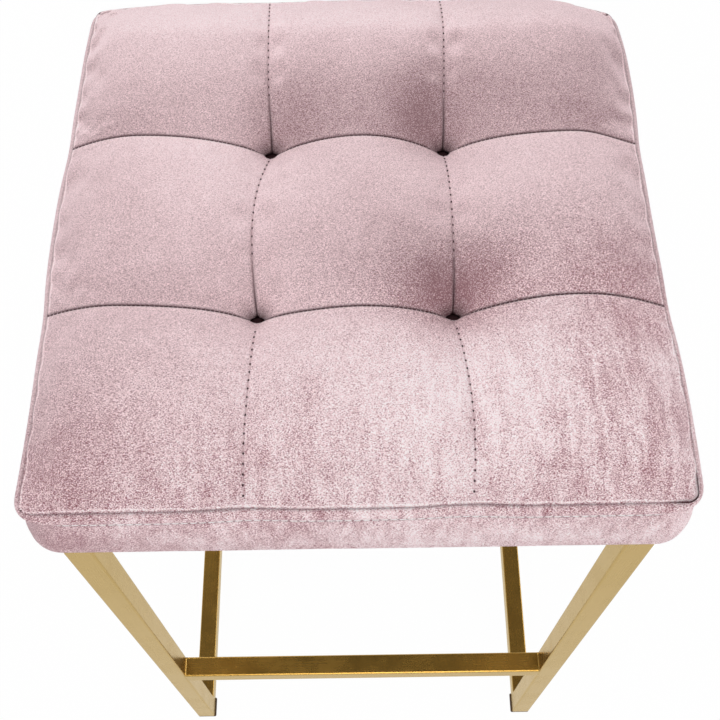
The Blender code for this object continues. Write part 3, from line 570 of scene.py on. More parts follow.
def top_surface(across, along, size):
    """The tufted top at panel counts across and along: places, and how much painted crease shade each gets.
    """
    offset = -size.band_roll - size.edge_groove
    x, y = even_plan(across, along, offset, size.top_radius, size.draw_in, 1, size)
    x, y, sunk = well(x, y, size)
    height = crown_height(x, y, size) * (1 - sunk) + (BUTTON_BASE - UPPER_SEAM) * sunk
    in_front = (-past_seam(y, CROSS_SEAM)).clip(0) / LEAN_REACH
    lean = size.lean * in_front * np.exp(1 - in_front) * (1 - sunk)
    crease = np.maximum(fade(to_seam(y, CROSS_SEAM), CROSS_CREASE), WELL_SHADE * sunk)
    crease = np.maximum(crease, FUNNEL_SHADE * funnel(x, y, size) ** FUNNEL_POWER)
    beside = np.exp(-to_seam(x, LONG_SEAM) / LONG_CREASE)
    crease = np.maximum(crease, beside * (LONG_SHADE + FOLD_SHADE * behind_tuft(y, size)))
    gap = near_gap(x, y, size)
    edge = np.exp(-to_rim(across, along) / (EDGE_CREASE + GAP_CREASE * gap))
    crease = np.maximum(crease, (EDGE_SHADE + GAP_SHADE * gap) * edge)
    bow = seam_bow(x, y, size)
    x, y = settle(x + bow, y + lean, 1, size)
    return np.stack([x, y, UPPER_SEAM + height], axis=-1), crease.clip(0, 1)


def spread_lines(number, skip):
    """Weights that carry values on every skip-th line to all lines, by cubic convolution.

    Between lines at share f, the four nearest weigh (-f + 2 f^2 - f^3) / 2, 1 - 2.5 f^2 + 1.5 f^3,
    (f + 4 f^2 - 3 f^3) / 2 and (f^3 - f^2) / 2.
    """
    place = np.arange((number - 1) * skip + 1) / skip
    base = np.minimum(place.astype(int), number - 2)
    f = place - base
    weights = ((-f + 2 * f ** 2 - f ** 3) / 2, 1 - 2.5 * f ** 2 + 1.5 * f ** 3,
               (f + 4 * f ** 2 - 3 * f ** 3) / 2, (f ** 3 - f ** 2) / 2)
    matrix = np.zeros((len(place), number))
    for step, weight in enumerate(weights):
        np.add.at(matrix, (np.arange(len(place)), (base + step - 1).clip(0, number - 1)), weight)
    return matrix


# The cloth: a heavy velvet that stretches little, bends easily and is blown up by the filling
CLOTH_SETTINGS = {
    "quality": 7,
    "mass": 0.25,
    "tension_stiffness": 8,
    "compression_stiffness": 8,
    "shear_stiffness": 4,
    "bending_stiffness": 0.25,
    "use_pressure": True,
}

# Beside a long seam the cloth moves in full at this share of the distance from a cross seam
LONG_SHARE = 1 / 3


def simulate_cloth(counts, size):
    """How far the filling pushes and wrinkles the sewn top, for every point of the grid.

    A coarse grid of the top is run as cloth with spare cloth in it, held along every seam, round the
    tufts and at the edge. Each point moves by d / (1 + d / cap), less near the seams, and the
    finer lines follow by cubic convolution.
    """
    coarse = counts[::size.cloth_skip]
    number = len(coarse)
    across, along = np.meshgrid(coarse, coarse, indexing="ij")
    rest, _ = top_surface(across, along, size)
    mesh = make_mesh("cloth_form", rest.reshape(-1, 3), [lattice(number, number)[0]])
    form = add_object("cloth_form", mesh)
    on_line = np.isclose(abs(coarse), SEAM_COUNT) | np.isclose(abs(coarse), EDGE_COUNT)
    x, y = even_plan(across, along, -size.band_roll, size.top_radius, 0, 1, size)
    from_tuft = np.hypot(to_seam(x, LONG_SEAM), to_seam(y, CROSS_SEAM))
    held = on_line[:, None] | on_line[None, :] | (from_tuft < WELL_LINES[2])
    pins = form.vertex_groups.new(name="held")
    pins.add(np.flatnonzero(held).tolist(), 1.0, "REPLACE")
    cloth = form.modifiers.new("cloth", "CLOTH")
    cloth.collision_settings.use_collision = False
    cloth.point_cache.frame_start = 1
    cloth.point_cache.frame_end = size.cloth_frames
    settings = cloth.settings
    settings.vertex_group_mass = pins.name
    for name, value in CLOTH_SETTINGS.items():
        setattr(settings, name, value)
    settings.uniform_pressure_force = size.pressure
    settings.shrink_min = -size.spare_cloth
    settings.effector_weights.gravity = 0
    for frame_number in range(1, size.cloth_frames + 1):
        bpy.context.scene.frame_set(frame_number)
    shaped = form.evaluated_get(bpy.context.evaluated_depsgraph_get()).data
    places = np.empty(rest.size, np.float32)
    shaped.vertices.foreach_get("co", places)
    bpy.context.scene.frame_set(1)
    moved = places.reshape(rest.shape) - rest
    moved = moved / (1 + np.linalg.norm(moved, axis=-1, keepdims=True) / size.cloth_cap)
    bpy.data.objects.remove(form)
    bpy.data.meshes.remove(mesh)
    moved = moved * ease(to_seam(y, CROSS_SEAM) / size.cloth_fade)[..., None]
    moved = moved * ease(to_seam(x, LONG_SEAM) / (size.cloth_fade * LONG_SHARE))[..., None]
    spread = spread_lines(number, size.cloth_skip)
    return np.einsum("ij,jkc,lk->ilc", spread, moved, spread)


# Rings of the band, and how closely they are gathered at its two seams
BAND_RINGS = 14
BAND_GATHER = 0.8

# The side's first rings stand as the band's do, drawn together by a share, so that they are gathered at
# the lower seam, and the others stand evenly from a share of the side downwards
SEAM_RINGS, SEAM_STRETCH = 6, 0.7
EVEN_RINGS, EVEN_FROM = 9, 0.45

# Share of the side at which it has swollen to its full bulge
BULGE_END = 0.6

# Rings of the bottom's roll
ROLL_RINGS = 6

# Rings beside the hem's turn and the board's lower edge keep them crisp, this far in and this far up
HEM_TURN = 0.004
BOARD_TURN = 0.0012
BOARD_RISE = 0.0010


def cushion_sides(size):
    """Rings down the sewn side and into the hem, then up round the board.

    Gives each ring's offset, height, corner radius, draw at the seams and looseness.

    The band leans in as the square of its climb and swells as a half sine wave. Below it the side
    swells as a quarter sine wave. Each of the two seams is a groove, exp(-distance / reach) deep.
    The bottom edge is a quarter circle.
    """
    band_height = UPPER_SEAM - LOWER_SEAM
    roll_top = SEAT_BOTTOM + size.bottom_roll
    down = np.linspace(0, 1, BAND_RINGS + 1)
    down = down - BAND_GATHER * np.sin(2 * np.pi * down) / (2 * np.pi)

    def groove(depth, distance):
        return depth * np.exp(-distance / size.edge_reach)

    band_t = down[1:]
    band = -size.band_roll * (1 - band_t) ** 2 + size.band_puff * np.sin(np.pi * band_t)
    band = band - groove(size.edge_groove, band_t * band_height)
    band = band - groove(size.low_groove, (1 - band_t) * band_height)
    gathered_t = down[1:SEAM_RINGS + 1] * SEAM_STRETCH
    side_t = np.concatenate([gathered_t, np.linspace(EVEN_FROM, 1, EVEN_RINGS)])
    side_drop = side_t * (LOWER_SEAM - roll_top)
    side = size.bulge * np.sin(np.pi / 2 * (side_t / BULGE_END).clip(0, 1))
    side = side - groove(size.low_groove, side_drop)
    roll = np.linspace(0, np.pi / 2, ROLL_RINGS + 1)[1:]
    wall = BOARD_HIGH[0] + TOUCH / 2 - SEAT_HALF[0]
    hem = size.bulge - size.turn_under
    low = BOARD_LOW[2] - TOUCH / 2
    pocket_top = BOARD_HIGH[2] + TOUCH / 2
    offsets = np.concatenate([
        band, side, size.bulge - size.bottom_roll * (1 - np.cos(roll)),
        (hem + HEM_TURN, hem, hem, hem + HEM_TURN),
        (size.bulge - size.bottom_roll, wall - BOARD_TURN, wall, wall, wall)])
    heights = np.concatenate([
        UPPER_SEAM - band_t * band_height, LOWER_SEAM - side_drop,
        roll_top - size.bottom_roll * np.sin(roll),
        (SEAT_BOTTOM, SEAT_BOTTOM + TOUCH, low - TOUCH, low),
        (low, low + BOARD_RISE, roll_top, (roll_top + pocket_top) / 2, pocket_top)])
    radii = np.interp(-heights, (-UPPER_SEAM, -LOWER_SEAM, -SEAT_BOTTOM),
                      (size.top_radius, size.seam_radius, size.low_radius))
    radii = radii + np.minimum(offsets - size.bulge, 0) * (heights < roll_top)
    turned = offsets < size.bulge - size.bottom_roll - TOUCH
    radii = np.where(turned, size.hem_radius, radii)
    loose = ((heights - BOARD_HIGH[2]) / (LOWER_SEAM - BOARD_HIGH[2])).clip(0, 1)
    return offsets, heights, radii, size.draw_in * loose, loose


# Painted light and shade marks, partly nap tone, in the pile: middle, sizes and how much lighter the velvet
# is painted there
LIGHT_AND_SHADE_MARKS = (
    ((0.020, -0.125, 0.68), (0.110, 0.075, 0.03), 0.44),
    ((0.120, -0.150, 0.68), (0.090, 0.055, 0.03), 0.26),
    ((-0.180, -0.190, 0.68), (0.035, 0.070, 0.03), -0.20),
    ((-0.100, 0.115, 0.68), (0.080, 0.075, 0.03), 0.38),
    ((0.018, 0.150, 0.68), (0.060, 0.040, 0.03), 0.20),
    ((-0.042, 0.085, 0.68), (0.026, 0.030, 0.03), -0.24),
    ((-0.105, -0.010, 0.68), (0.090, 0.065, 0.03), 0.15),
    ((0.125, 0.025, 0.68), (0.055, 0.050, 0.03), 0.15),
    ((0.044, 0.088, 0.68), (0.020, 0.030, 0.03), -0.30),
    ((0.165, 0.120, 0.68), (0.025, 0.050, 0.03), -0.10),
    ((0.058, -0.055, 0.68), (0.038, 0.028, 0.03), -0.62),
    ((0.165, -0.045, 0.68), (0.028, 0.030, 0.03), -0.14),
    ((-0.180, -0.200, 0.64), (0.060, 0.060, 0.018), -0.42),
    ((0.080, -0.200, 0.64), (0.170, 0.060, 0.018), 0.42),
)


def border(grid):
    """The outermost values of a grid, once round it."""
    return np.concatenate([grid[:-1, 0], grid[-1, :-1], grid[:0:-1, -1], grid[0, :0:-1]])


# Faint waves round the side: number to a turn, phase and share of the ripple
SIDE_WAVES = ((9, 1.0, 1.0), (17, 2.2, 0.7), (31, 0.0, 0.5))

# Distances from the bottom and from the lower seam over which the waves grow to their height
WAVE_RISE = 0.012
WAVE_FALL = 0.006

# Painted shade: how dark and how wide the crease of the lower seam is, and how dark the upper seam and its
# gap are
LOW_SHADE, LOW_CREASE = 0.9, 0.0009
SIDE_SHADE = 0.75
CORNER_SHADE = 1.8


def side_rings(counts, size):
    """Places of the sides' rings, one row for each, and how much painted seam shade each point gets."""
    across, along = np.meshgrid(counts, counts, indexing="ij")
    across, along = border(across)[None], border(along)[None]
    offsets, heights, radii, draws, loose = (part[:, None] for part in cushion_sides(size))
    x, y = even_plan(across, along, offsets, radii, draws, loose, size)
    drop = ((LOWER_SEAM - heights) / (LOWER_SEAM - BOARD_HIGH[2])).clip(0, 1)
    at_corner = fade(np.hypot(abs(x) - SEAT_HALF[0], abs(y) - SEAT_HALF[1]), size.seam_radius)
    slack = size.corner_slack * np.sin(np.pi * drop) * at_corner
    x, y = x - np.sign(x) * slack, y - np.sign(y) * slack
    gap = near_gap(x, y, size) * np.exp(-(UPPER_SEAM - heights) / size.edge_reach)
    x, y = settle(x - size.corner_gap * gap, y + size.corner_gap * gap, loose, size)
    turn = np.arctan2(y, x)
    waves = sum(part * np.sin(number * turn + phase) for number, phase, part in SIDE_WAVES)
    on_side = ease((heights - SEAT_BOTTOM) / WAVE_RISE) * ease((LOWER_SEAM - heights) / WAVE_FALL)
    ripple = size.ripple * waves * on_side * (offsets > 0)
    reach = np.hypot(x, y)
    x, y = x * (1 + ripple / reach), y * (1 + ripple / reach)
    crease = LOW_SHADE * fade(heights - LOWER_SEAM, LOW_CREASE)
    crease = np.maximum(crease, SIDE_SHADE * np.exp(-(UPPER_SEAM - heights) / EDGE_CREASE))
    crease = np.maximum(crease, CORNER_SHADE * gap)
    return np.stack([x, y, np.broadcast_to(heights, x.shape)], axis=-1), crease.clip(0, 1)


def paint_light_and_nap(places):
    """Painted light and shade, partly nap tone: smooth marks exp(-(d / reach)^2), each with its reaches.

    The front middle and the rear left are painted lighter, the pile by the front right tuft darker.
    """
    tone = 0
    for place, reach, strength in LIGHT_AND_SHADE_MARKS:
        tone = tone + strength * np.exp(-(((places - place) / reach) ** 2).sum(axis=-1))
    return tone


# How much of the painted slope shade shows at a panel count along the seat: none in the front row of panels,
# some in the middle one and all in the rear one
ROW_COUNTS = (-0.55, -0.45, 0.45, 0.55)
ROW_SHARES = (0, 0.45, 0.45, 1)

# Where a slope is worked out, the grid's steps count as at least this long
LEAST_STEP = TOUCH / 3


def build_cushion(size):
    """The closed cushion: tufted top, sewn sides, hem and the pocket that the board lies in."""
    counts = gathered_counts(size)
    across, along = np.meshgrid(counts, counts, indexing="ij")
    top, top_shade = top_surface(across, along, size)
    top = top + simulate_cloth(counts, size)
    rings, ring_shade = side_rings(counts, size)
    number = len(counts)
    quads, _ = lattice(number, number)
    ring_index = np.arange(rings.size // 3).reshape(rings.shape[:2]) + number * number
    upper = np.concatenate([border(np.arange(number * number).reshape(number, number))[None], ring_index])
    low, high = upper[1:], upper[:-1]
    side_quads = np.stack([high, low, np.roll(low, -1, axis=1), np.roll(high, -1, axis=1)], axis=-1)
    points = np.concatenate([top.reshape(-1, 3), rings.reshape(-1, 3)])
    mesh = make_mesh("seat_cushion", points, [quads, side_quads.reshape(-1, 4), ring_index[-1:]])
    # Painted shade in the seams, wells and gaps, which the velvet reads
    crease = np.concatenate([top_shade.ravel(), ring_shade.ravel()])
    set_mask(mesh, "crease", crease)
    mark_sheenless_shade(mesh, crease)
    # Painted light and shade in the pile: the listed marks with some nap tone, shade on slopes to the front,
    # a highlight on the rim
    nap = paint_light_and_nap(points)
    # Painted shade: slopes that face the front are darkened
    slope = np.gradient(top[..., 2], axis=1) / np.gradient(top[..., 1], axis=1).clip(LEAST_STEP)
    shaded = (size.slope_shade * slope).clip(-size.slope_most, size.slope_most)
    shaded = shaded * np.interp(along, ROW_COUNTS, ROW_SHARES)
    # Painted highlight along the lip of the upper seam
    rim_width = size.rim_inset / 3
    painted_rim = size.rim_highlight * fade(to_rim(across, along) - size.rim_inset, rim_width)
    nap[:number * number] += (painted_rim - shaded).ravel()
    set_mask(mesh, "nap", nap)
    return face_outwards(mesh)


# A covered button: its sides, and its rings as shares of its radius and height, the rim's and then the
# dome's, which starts at a share of the height
BUTTON_SIDES = 32
RIM_RADII = (0.88, 0.97)
RIM_LEVELS = (0, 0.15)
DOME_RINGS = 10
DOME_FOOT = 0.33

# Painted shade: how far the buttons, deep in their wells, are darkened towards the colour of the crease
# shade
BUTTON_SHADE = 0.97


def build_button(name, place):
    """A covered button: a low dome, the cosine and sine of its rise, on a rim, turned about its axis."""
    turn = np.linspace(0, 2 * np.pi, BUTTON_SIDES + 1)[:-1]
    rise = np.linspace(0, np.pi / 2, DOME_RINGS + 1)[:-1]
    radius = BUTTON_RADIUS * np.concatenate([RIM_RADII, np.cos(rise)])
    height = BUTTON_TOP - BUTTON_BASE - 2 * TOUCH
    level = np.concatenate([RIM_LEVELS, DOME_FOOT + (1 - DOME_FOOT) * np.sin(rise)]) * height
    x = place[0] + radius[:, None] * np.cos(turn)
    y = place[1] + radius[:, None] * np.sin(turn)
    z = BUTTON_BASE + TOUCH + np.broadcast_to(level[:, None], x.shape)
    points = np.stack([x, y, z], axis=-1).reshape(-1, 3)
    quads, _, ends = closed_tube(*x.shape)
    mesh = make_mesh(name, points, [quads, ends])
    # The whole button is painted with shade and takes the sheenless shaded copy
    set_mask(mesh, "crease", np.full(len(points), BUTTON_SHADE))
    mark_sheenless_shade(mesh, np.ones(len(points)))
    return face_outwards(mesh)


class SewingSizes(PropertyGroup):
    """Sizes of the stitches, the dust cover and its staples."""

    thread: length("Thread", "Radius of the sewing thread", 0.00022)
    edge_thread: length("Edge thread", "Radius of the thread of the edge seam", 0.00050)
    cross_pitch: length("Cross pitch", "Distance between the threads that bridge a cross seam", 0.0028)
    cross_stitch: length("Cross stitch", "Length of a thread across a cross seam", 0.0017)
    long_pitch: length("Long pitch", "Distance between the needle holes of a long seam", 0.0060)
    long_stitch: length("Long stitch", "Length of a stitch on a long seam", 0.0040)
    hole: length("Hole", "Radius of a needle hole's pinched mouth", 0.00064)
    edge_pitch: length("Edge pitch", "Distance between the stitches of the edge seam", 0.0052)
    edge_stitch: length("Edge stitch", "Length of a stitch on the edge seam", 0.0040)
    clear: length("Clear", "Distance from a tuft within which no stitch shows", 0.0095)
    fold_clear: length("Fold clear", "Length of the fold behind a tuft in which no stitch shows", 0.028)
    cover_sag: length("Cover sag", "How far the dust cover hangs down in its middle", 0.0004)
    cover_pleat: length("Cover pleat", "Height of the pulls between the staples", 0.00012)
    staple: length("Staple", "Length of a staple's crown", 0.0100)
    staple_wire: length("Staple wire", "Radius of the staple wire", 0.00035)
    staple_pitch: length("Staple pitch", "Distance between the staples", 0.0420)
    staple_inset: length("Staple inset", "Distance from the dust cover's edge to its staples", 0.0050)


# A short thread: shares of its length from -1 to 1, and of its radius there
BEAD_PLACES = np.array((-1.0, -0.82, -0.3, 0.3, 0.82, 1.0))
BEAD_RADII = np.array((0.30, 0.85, 1.0, 1.0, 0.85, 0.30))
BEAD_SIDES = 6


def bead_row(path, up, pitch, bead, radius, lift, across=False, keep=None):
    """Short rounded threads along a path, every pitch of its length.

    Each is a six-sided tube whose radius swells and fades, laid along the path or across it, and
    lifted along the up direction. Gives the points, one thread after the other.
    """
    run = running_length(path)

    def on_path(marks):
        return np.stack([np.interp(marks, run, path[:, axis]) for axis in range(3)], axis=-1)

    marks = np.arange(pitch / 2, run[-1], pitch)
    middle = on_path(marks)
    ahead = on_path(marks + pitch / 4)
    if keep is not None:
        kept = keep(middle)
        middle, ahead = middle[kept], ahead[kept]
    forward = ahead - middle
    forward /= np.linalg.norm(forward, axis=1, keepdims=True)
    rise = np.broadcast_to(up(middle), middle.shape)
    rise = rise - (rise * forward).sum(axis=1, keepdims=True) * forward
    rise = rise / np.linalg.norm(rise, axis=1, keepdims=True)
    aside = np.cross(forward, rise)
    along, wide = (aside, forward) if across else (forward, aside)
    turn = np.arange(BEAD_SIDES) * 2 * np.pi / BEAD_SIDES
    round_it = np.cos(turn)[:, None] * wide[:, None, None] + np.sin(turn)[:, None] * rise[:, None, None]
    places = (BEAD_PLACES * bead / 2)[:, None, None]
    spine = (middle + lift * rise)[:, None, None] + places * along[:, None, None]
    return (spine + radius * BEAD_RADII[:, None, None] * round_it).reshape(-1, 3)


def build_beads(name, rows):
    """One mesh from rows of short threads."""
    points = np.concatenate(rows)
    quads, _, ends = closed_tube(len(BEAD_PLACES), BEAD_SIDES)
    starts = np.arange(0, len(points), len(BEAD_PLACES) * BEAD_SIDES)[:, None, None]
    faces = [(part + starts).reshape(-1, part.shape[1]) for part in (quads, ends)]
    return face_outwards(make_mesh(name, points, faces))


# The side's outward direction turns over this distance from each corner
CORNER_TURN = 0.02


def upwards(points):
    return np.array((0.0, 0.0, 1.0))


def downwards(points):
    return np.array((0.0, 0.0, -1.0))


def outwards(points):
    """Level, away from the nearest side of the seat, turned evenly round its corners."""
    away = np.maximum(abs(points[:, :2]) - SEAT_HALF + CORNER_TURN, 0) * np.sign(points[:, :2])
    away = np.concatenate([away, np.zeros((len(points), 1))], axis=1)
    return away / np.linalg.norm(away, axis=1, keepdims=True).clip(TOUCH)


def clear_of_tufts(distance, fold=0):
    """Test for places on the top that lie clear of every tuft and of the fold behind it."""
    tufts = np.array([place[:2] for place in TUFTS.values()])

    def keep(points):
        away = points[:, None, :2] - tufts
        behind = np.hypot(away[..., 0], away[..., 1] - away[..., 1].clip(0, fold))
        return behind.min(axis=1) > distance
    return keep


# The panel seams' lines end at this panel count, just short of the edge, and have this many points
SEAM_END = 1.492
SEAM_POINTS = 1200


def seam_paths(size):
    """The two long and two cross seams as dense lines on the top, from edge to edge."""
    line = np.linspace(-SEAM_END, SEAM_END, SEAM_POINTS)
    long_seams, cross_seams = [], []
    for seam in (-SEAM_COUNT, SEAM_COUNT):
        fixed = np.full_like(line, seam)
        long_seams.append(top_surface(fixed, line, size)[0])
        cross_seams.append(top_surface(line, fixed, size)[0])
    return long_seams, cross_seams


# The threads are lifted by these shares of their seam's depth, and the mouth of a needle hole is sunk by
# this share of its radius
CROSS_LIFT = 0.5
LONG_LIFT = 0.9
HOLE_SINK = 0.4

# The needle holes keep this share of the threads' distance from the tufts
HOLE_CLEAR = 0.8


def build_stitches(size, sewing):
    """Threads that bridge the cross seams and lie along the long seams."""
    long_seams, cross_seams = seam_paths(size)
    keep = clear_of_tufts(sewing.clear)
    lift = size.cross_groove * CROSS_LIFT
    rows = [bead_row(path, upwards, sewing.cross_pitch, sewing.cross_stitch, sewing.thread, lift,
                     across=True, keep=keep) for path in cross_seams]
    keep = clear_of_tufts(sewing.clear, sewing.fold_clear)
    lift = size.long_groove * LONG_LIFT
    rows += [bead_row(path, upwards, sewing.long_pitch, sewing.long_stitch, sewing.thread, lift,
                      keep=keep) for path in long_seams]
    return build_beads("seam_stitches", rows)


def build_edge_stitches(size, sewing):
    """A row of lighter, thicker stitches round the lower edge seam."""
    rings, _ = side_rings(gathered_counts(size), size)
    lower = rings[np.argmin(abs(rings[:, 0, 2] - LOWER_SEAM))]
    path = np.concatenate([lower, lower[:1]])
    row = bead_row(path, outwards, sewing.edge_pitch, sewing.edge_stitch, sewing.edge_thread,
                   size.low_groove)
    return build_beads("edge_stitches", [row])


def build_needle_holes(size, sewing):
    """Pinched mouths of the needle holes, between the stitches of the long seams, coloured dark to paint the
    shade inside them.
    """
    keep = clear_of_tufts(sewing.clear * HOLE_CLEAR, sewing.fold_clear)
    lift = size.long_groove - sewing.hole * HOLE_SINK
    rows = []
    for path in seam_paths(size)[0]:
        start = np.searchsorted(running_length(path)[1:], sewing.long_pitch / 2)
        rows.append(bead_row(path[start:], upwards, sewing.long_pitch, 2 * sewing.hole, sewing.hole,
                             lift, keep=keep))
    return build_beads("needle_holes", rows)


# Dust cover: grid lines each way, distance over which the pull of a staple fades, and thickness
COVER_LINES = 121
PULL_REACH = 0.012
LINING_THICKNESS = 0.0003

# The staples' crowns stand this far out of the dust cover
STAPLE_LIFT = 0.0002


def build_dust_cover(sewing):
    """Black lining pulled flat under the board.

    It sags by the product of two half cosines, and its edge is pulled up at each staple by a cosine
    that fades inwards.
    """
    low, high = span("dust_cover")
    half = high[:2]
    line = np.linspace(-1, 1, COVER_LINES)
    u, v = np.meshgrid(line, line, indexing="ij")
    sag = sewing.cover_sag * np.cos(np.pi / 2 * u) * np.cos(np.pi / 2 * v)
    pulls = 0
    for along, inward in ((u, v), (v, u)):
        waves = np.cos(2 * np.pi * along * half[0] / sewing.staple_pitch)
        pulls = pulls + sewing.cover_pleat * waves * np.exp((abs(inward) - 1) * half[0] / PULL_REACH)
    level = (low[2] + high[2]) / 2
    points = np.stack([u * half[0], v * half[1], level - sag - pulls], axis=-1)
    quads, _ = lattice(*u.shape)
    mesh = make_mesh("dust_cover_cloth", points.reshape(-1, 3), [quads[:, ::-1]])
    return mesh, 2 * half


def build_staples(sewing):
    """Staple crowns in a row along each edge of the dust cover."""
    low, high = span("dust_cover")
    half = high[:2] - sewing.staple_inset
    rows = []
    for axis in (0, 1):
        for sign in (-1, 1):
            path = np.zeros((2, 3))
            path[:, axis] = (-half[axis], half[axis])
            path[:, 1 - axis] = sign * half[1 - axis]
            path[:, 2] = (low[2] + high[2]) / 2
            rows.append(bead_row(path, downwards, sewing.staple_pitch, sewing.staple, sewing.staple_wire,
                                 STAPLE_LIFT))
    return build_beads("cover_staples", rows)


class FrameSizes(PropertyGroup):
    """Sizes of the tube frame."""

    corner: length("Corner radius", "Outer corner radius of the square tube", 0.0016)
    mitre: length("Mitre radius", "Radius that the ground mitres are rounded to", 0.0008)
    weld: length("Weld", "Height of the weld fillets where the cross bars meet the legs", 0.0013)


# Points on a tube's rounded corner, a rounded mitre and a weld's flank
CORNER_POINTS = 7
MITRE_POINTS = 5
WELD_POINTS = 6

# Lines this far from a rounding keep the flat beside it flat when the mesh is shaded smooth: round the
# tube, and along it
FLAT_MARGIN = 0.0004
RUN_MARGIN = 0.0008

# Number of lines on each straight of a side loop, and places of those in the middle of a cross bar
RUN_LINES = 5
BAR_LINES = (-0.1, -0.03, 0.03, 0.1)

# A cross bar's end reaches this far into the side loop
BAR_BITE = TOUCH / 3

# A point this many corner radii from the tube's top or bottom still counts as on the rounded corner
ROUND_REACH = 1.01


def tube_section(corner):
    """Outline of the square tube: arcs at the corners, with lines just inside each flat's ends."""
    half = TUBE / 2
    turn = np.linspace(0, np.pi / 2, CORNER_POINTS)
    arc = half - corner + corner * np.stack([np.cos(turn), np.sin(turn)], axis=-1)
    flat_end = half - corner - FLAT_MARGIN
    quarter = np.concatenate([[[half, 0], [half, flat_end]], arc, [[flat_end, half]]])
    quarters = []
    for step in range(4):
        cos, sin = round(math.cos(step * math.pi / 2)), round(math.sin(step * math.pi / 2))
        quarters.append(quarter @ np.array([[cos, sin], [-sin, cos]]))
    return np.concatenate(quarters)


def build_side_loop(name, x, size):
    """One sled side: the tube's outline carried round a rectangle with small round corners.

    A point of the outline that stands out by b goes round the rectangle that is b larger each way.
    """
    section = tube_section(size.corner)
    middle = (FRAME_LOW + FRAME_HIGH)[1:] / 2
    half = (FRAME_HIGH - FRAME_LOW)[1:] / 2 - TUBE / 2
    turn = np.linspace(0, np.pi / 2, MITRE_POINTS)
    turn = (turn + np.arange(4)[:, None] * np.pi / 2).ravel()
    turns = np.stack([np.cos(turn), np.sin(turn)], axis=-1)
    signs = np.repeat(((1, 1), (-1, 1), (-1, -1), (1, -1)), MITRE_POINTS, axis=0)
    reach = half + section[:, 1][:, None, None] - size.mitre
    loop = middle + signs * reach + size.mitre * turns
    loop = loop.reshape(len(section), 4, MITRE_POINTS, 2)
    here, following = loop[:, :, -1], np.roll(loop[:, :, 0], -1, axis=1)
    away = (following - here) / np.linalg.norm(following - here, axis=-1, keepdims=True)
    start, end = here + RUN_MARGIN * away, following - RUN_MARGIN * away
    runs = np.stack([start + (end - start) * part for part in np.linspace(0, 1, RUN_LINES)], axis=2)
    loop = np.concatenate([loop, runs], axis=2).reshape(len(section), -1, 2)
    rows, columns = loop.shape[:2]
    across = np.broadcast_to(x + section[:, 0][:, None, None], (rows, columns, 1))
    points = np.concatenate([across, loop], axis=-1)
    quads, flat = lattice(rows, columns, wrap_rows=True, wrap_columns=True)
    round_it, along = running_length(section, closed=True), running_length(loop[0], closed=True)
    uv = np.stack(np.meshgrid(round_it, along, indexing="ij")[::-1], axis=-1).reshape(-1, 2)
    return face_outwards(make_mesh(name, points.reshape(-1, 3), [quads], uv[flat.ravel()]))


def build_cross_bar(name, node, size, low_weld, high_weld):
    """A bar between the side loops, its outline flared up and down into weld fillets at both ends."""
    section = tube_section(size.corner)
    middle = centre(node)
    reach = FRAME_HIGH[0] - TUBE + BAR_BITE
    turn = np.linspace(0, np.pi / 2, WELD_POINTS)
    x_end = np.concatenate([size.weld * np.sin(turn), [size.weld + RUN_MARGIN]])
    rise = size.weld - np.sqrt((size.weld ** 2 - (size.weld - x_end.clip(0, size.weld)) ** 2).clip(0))
    x = np.concatenate([-reach + x_end, BAR_LINES, (reach - x_end)[::-1]])
    rise = np.concatenate([rise, np.zeros(len(BAR_LINES)), rise[::-1]])
    weld = np.where(section[:, 1] > 0, high_weld, low_weld) * np.sign(section[:, 1])
    rounded = abs(section[:, 1]) > TUBE / 2 - size.corner * ROUND_REACH
    z = middle[2] + section[:, 1] + np.where(rounded, weld, 0) * rise[:, None]
    y = middle[1] + np.broadcast_to(section[:, 0], z.shape)
    points = np.stack([np.broadcast_to(x[:, None], z.shape), y, z], axis=-1)
    quads, flat, ends = closed_tube(*z.shape)
    round_it = running_length(section, closed=True)
    uv = np.stack(np.meshgrid(x, round_it, indexing="ij"), axis=-1).reshape(-1, 2)
    corner_uv = np.concatenate([uv[flat.ravel()], np.zeros((ends.size, 2))])
    return face_outwards(make_mesh(name, points.reshape(-1, 3), [quads, ends], corner_uv))


# Materials. Most values of a noise texture lie in the first range; the others are what they are spread onto
NOISE_RANGE = (0.3, 0.7)
ABOUT_ZERO = (-0.5, 0.5)
UP_TO_ONE = (0, 1)

# Places of a colour mix's factor and two colours among its node's inputs, and of its result
MIX_INPUTS = (0, 6, 7)
MIX_OUTPUT = 2


def connect(tree, value, socket):
    """Give a socket a link, where the value is another socket, or else the value itself."""
    if isinstance(value, bpy.types.NodeSocket):
        tree.links.new(value, socket)
    else:
        socket.default_value = value


def set_inputs(tree, item, **inputs):
    """Connect a node's inputs by their names."""
    for name, value in inputs.items():
        connect(tree, value, item.inputs[name.replace("_", " ")])


def add_node(tree, kind, settings=None, **inputs):
    """A new node, with its properties set and its inputs connected."""
    item = tree.nodes.new(kind)
    for name, value in (settings or {}).items():
        setattr(item, name, value)
    set_inputs(tree, item, **inputs)
    return item


def new_group(name, inputs, outputs):
    """An empty node group with a vector and named numbers as inputs, and named numbers as outputs."""
    group = bpy.data.node_groups.new(name, "ShaderNodeTree")
    group.interface.new_socket("Vector", in_out="INPUT", socket_type="NodeSocketVector")
    for way, sockets in (("INPUT", inputs), ("OUTPUT", outputs)):
        for socket in sockets:
            group.interface.new_socket(socket, in_out=way, socket_type="NodeSocketFloat")
    return group, group.nodes.new("NodeGroupInput").outputs, group.nodes.new("NodeGroupOutput")


def add_group(tree, name, make, **inputs):
    """A node that holds the named group, which is made when it is first needed."""
    group = bpy.data.node_groups.get(name) or make()
    return add_node(tree, "ShaderNodeGroup", {"node_tree": group}, **inputs)


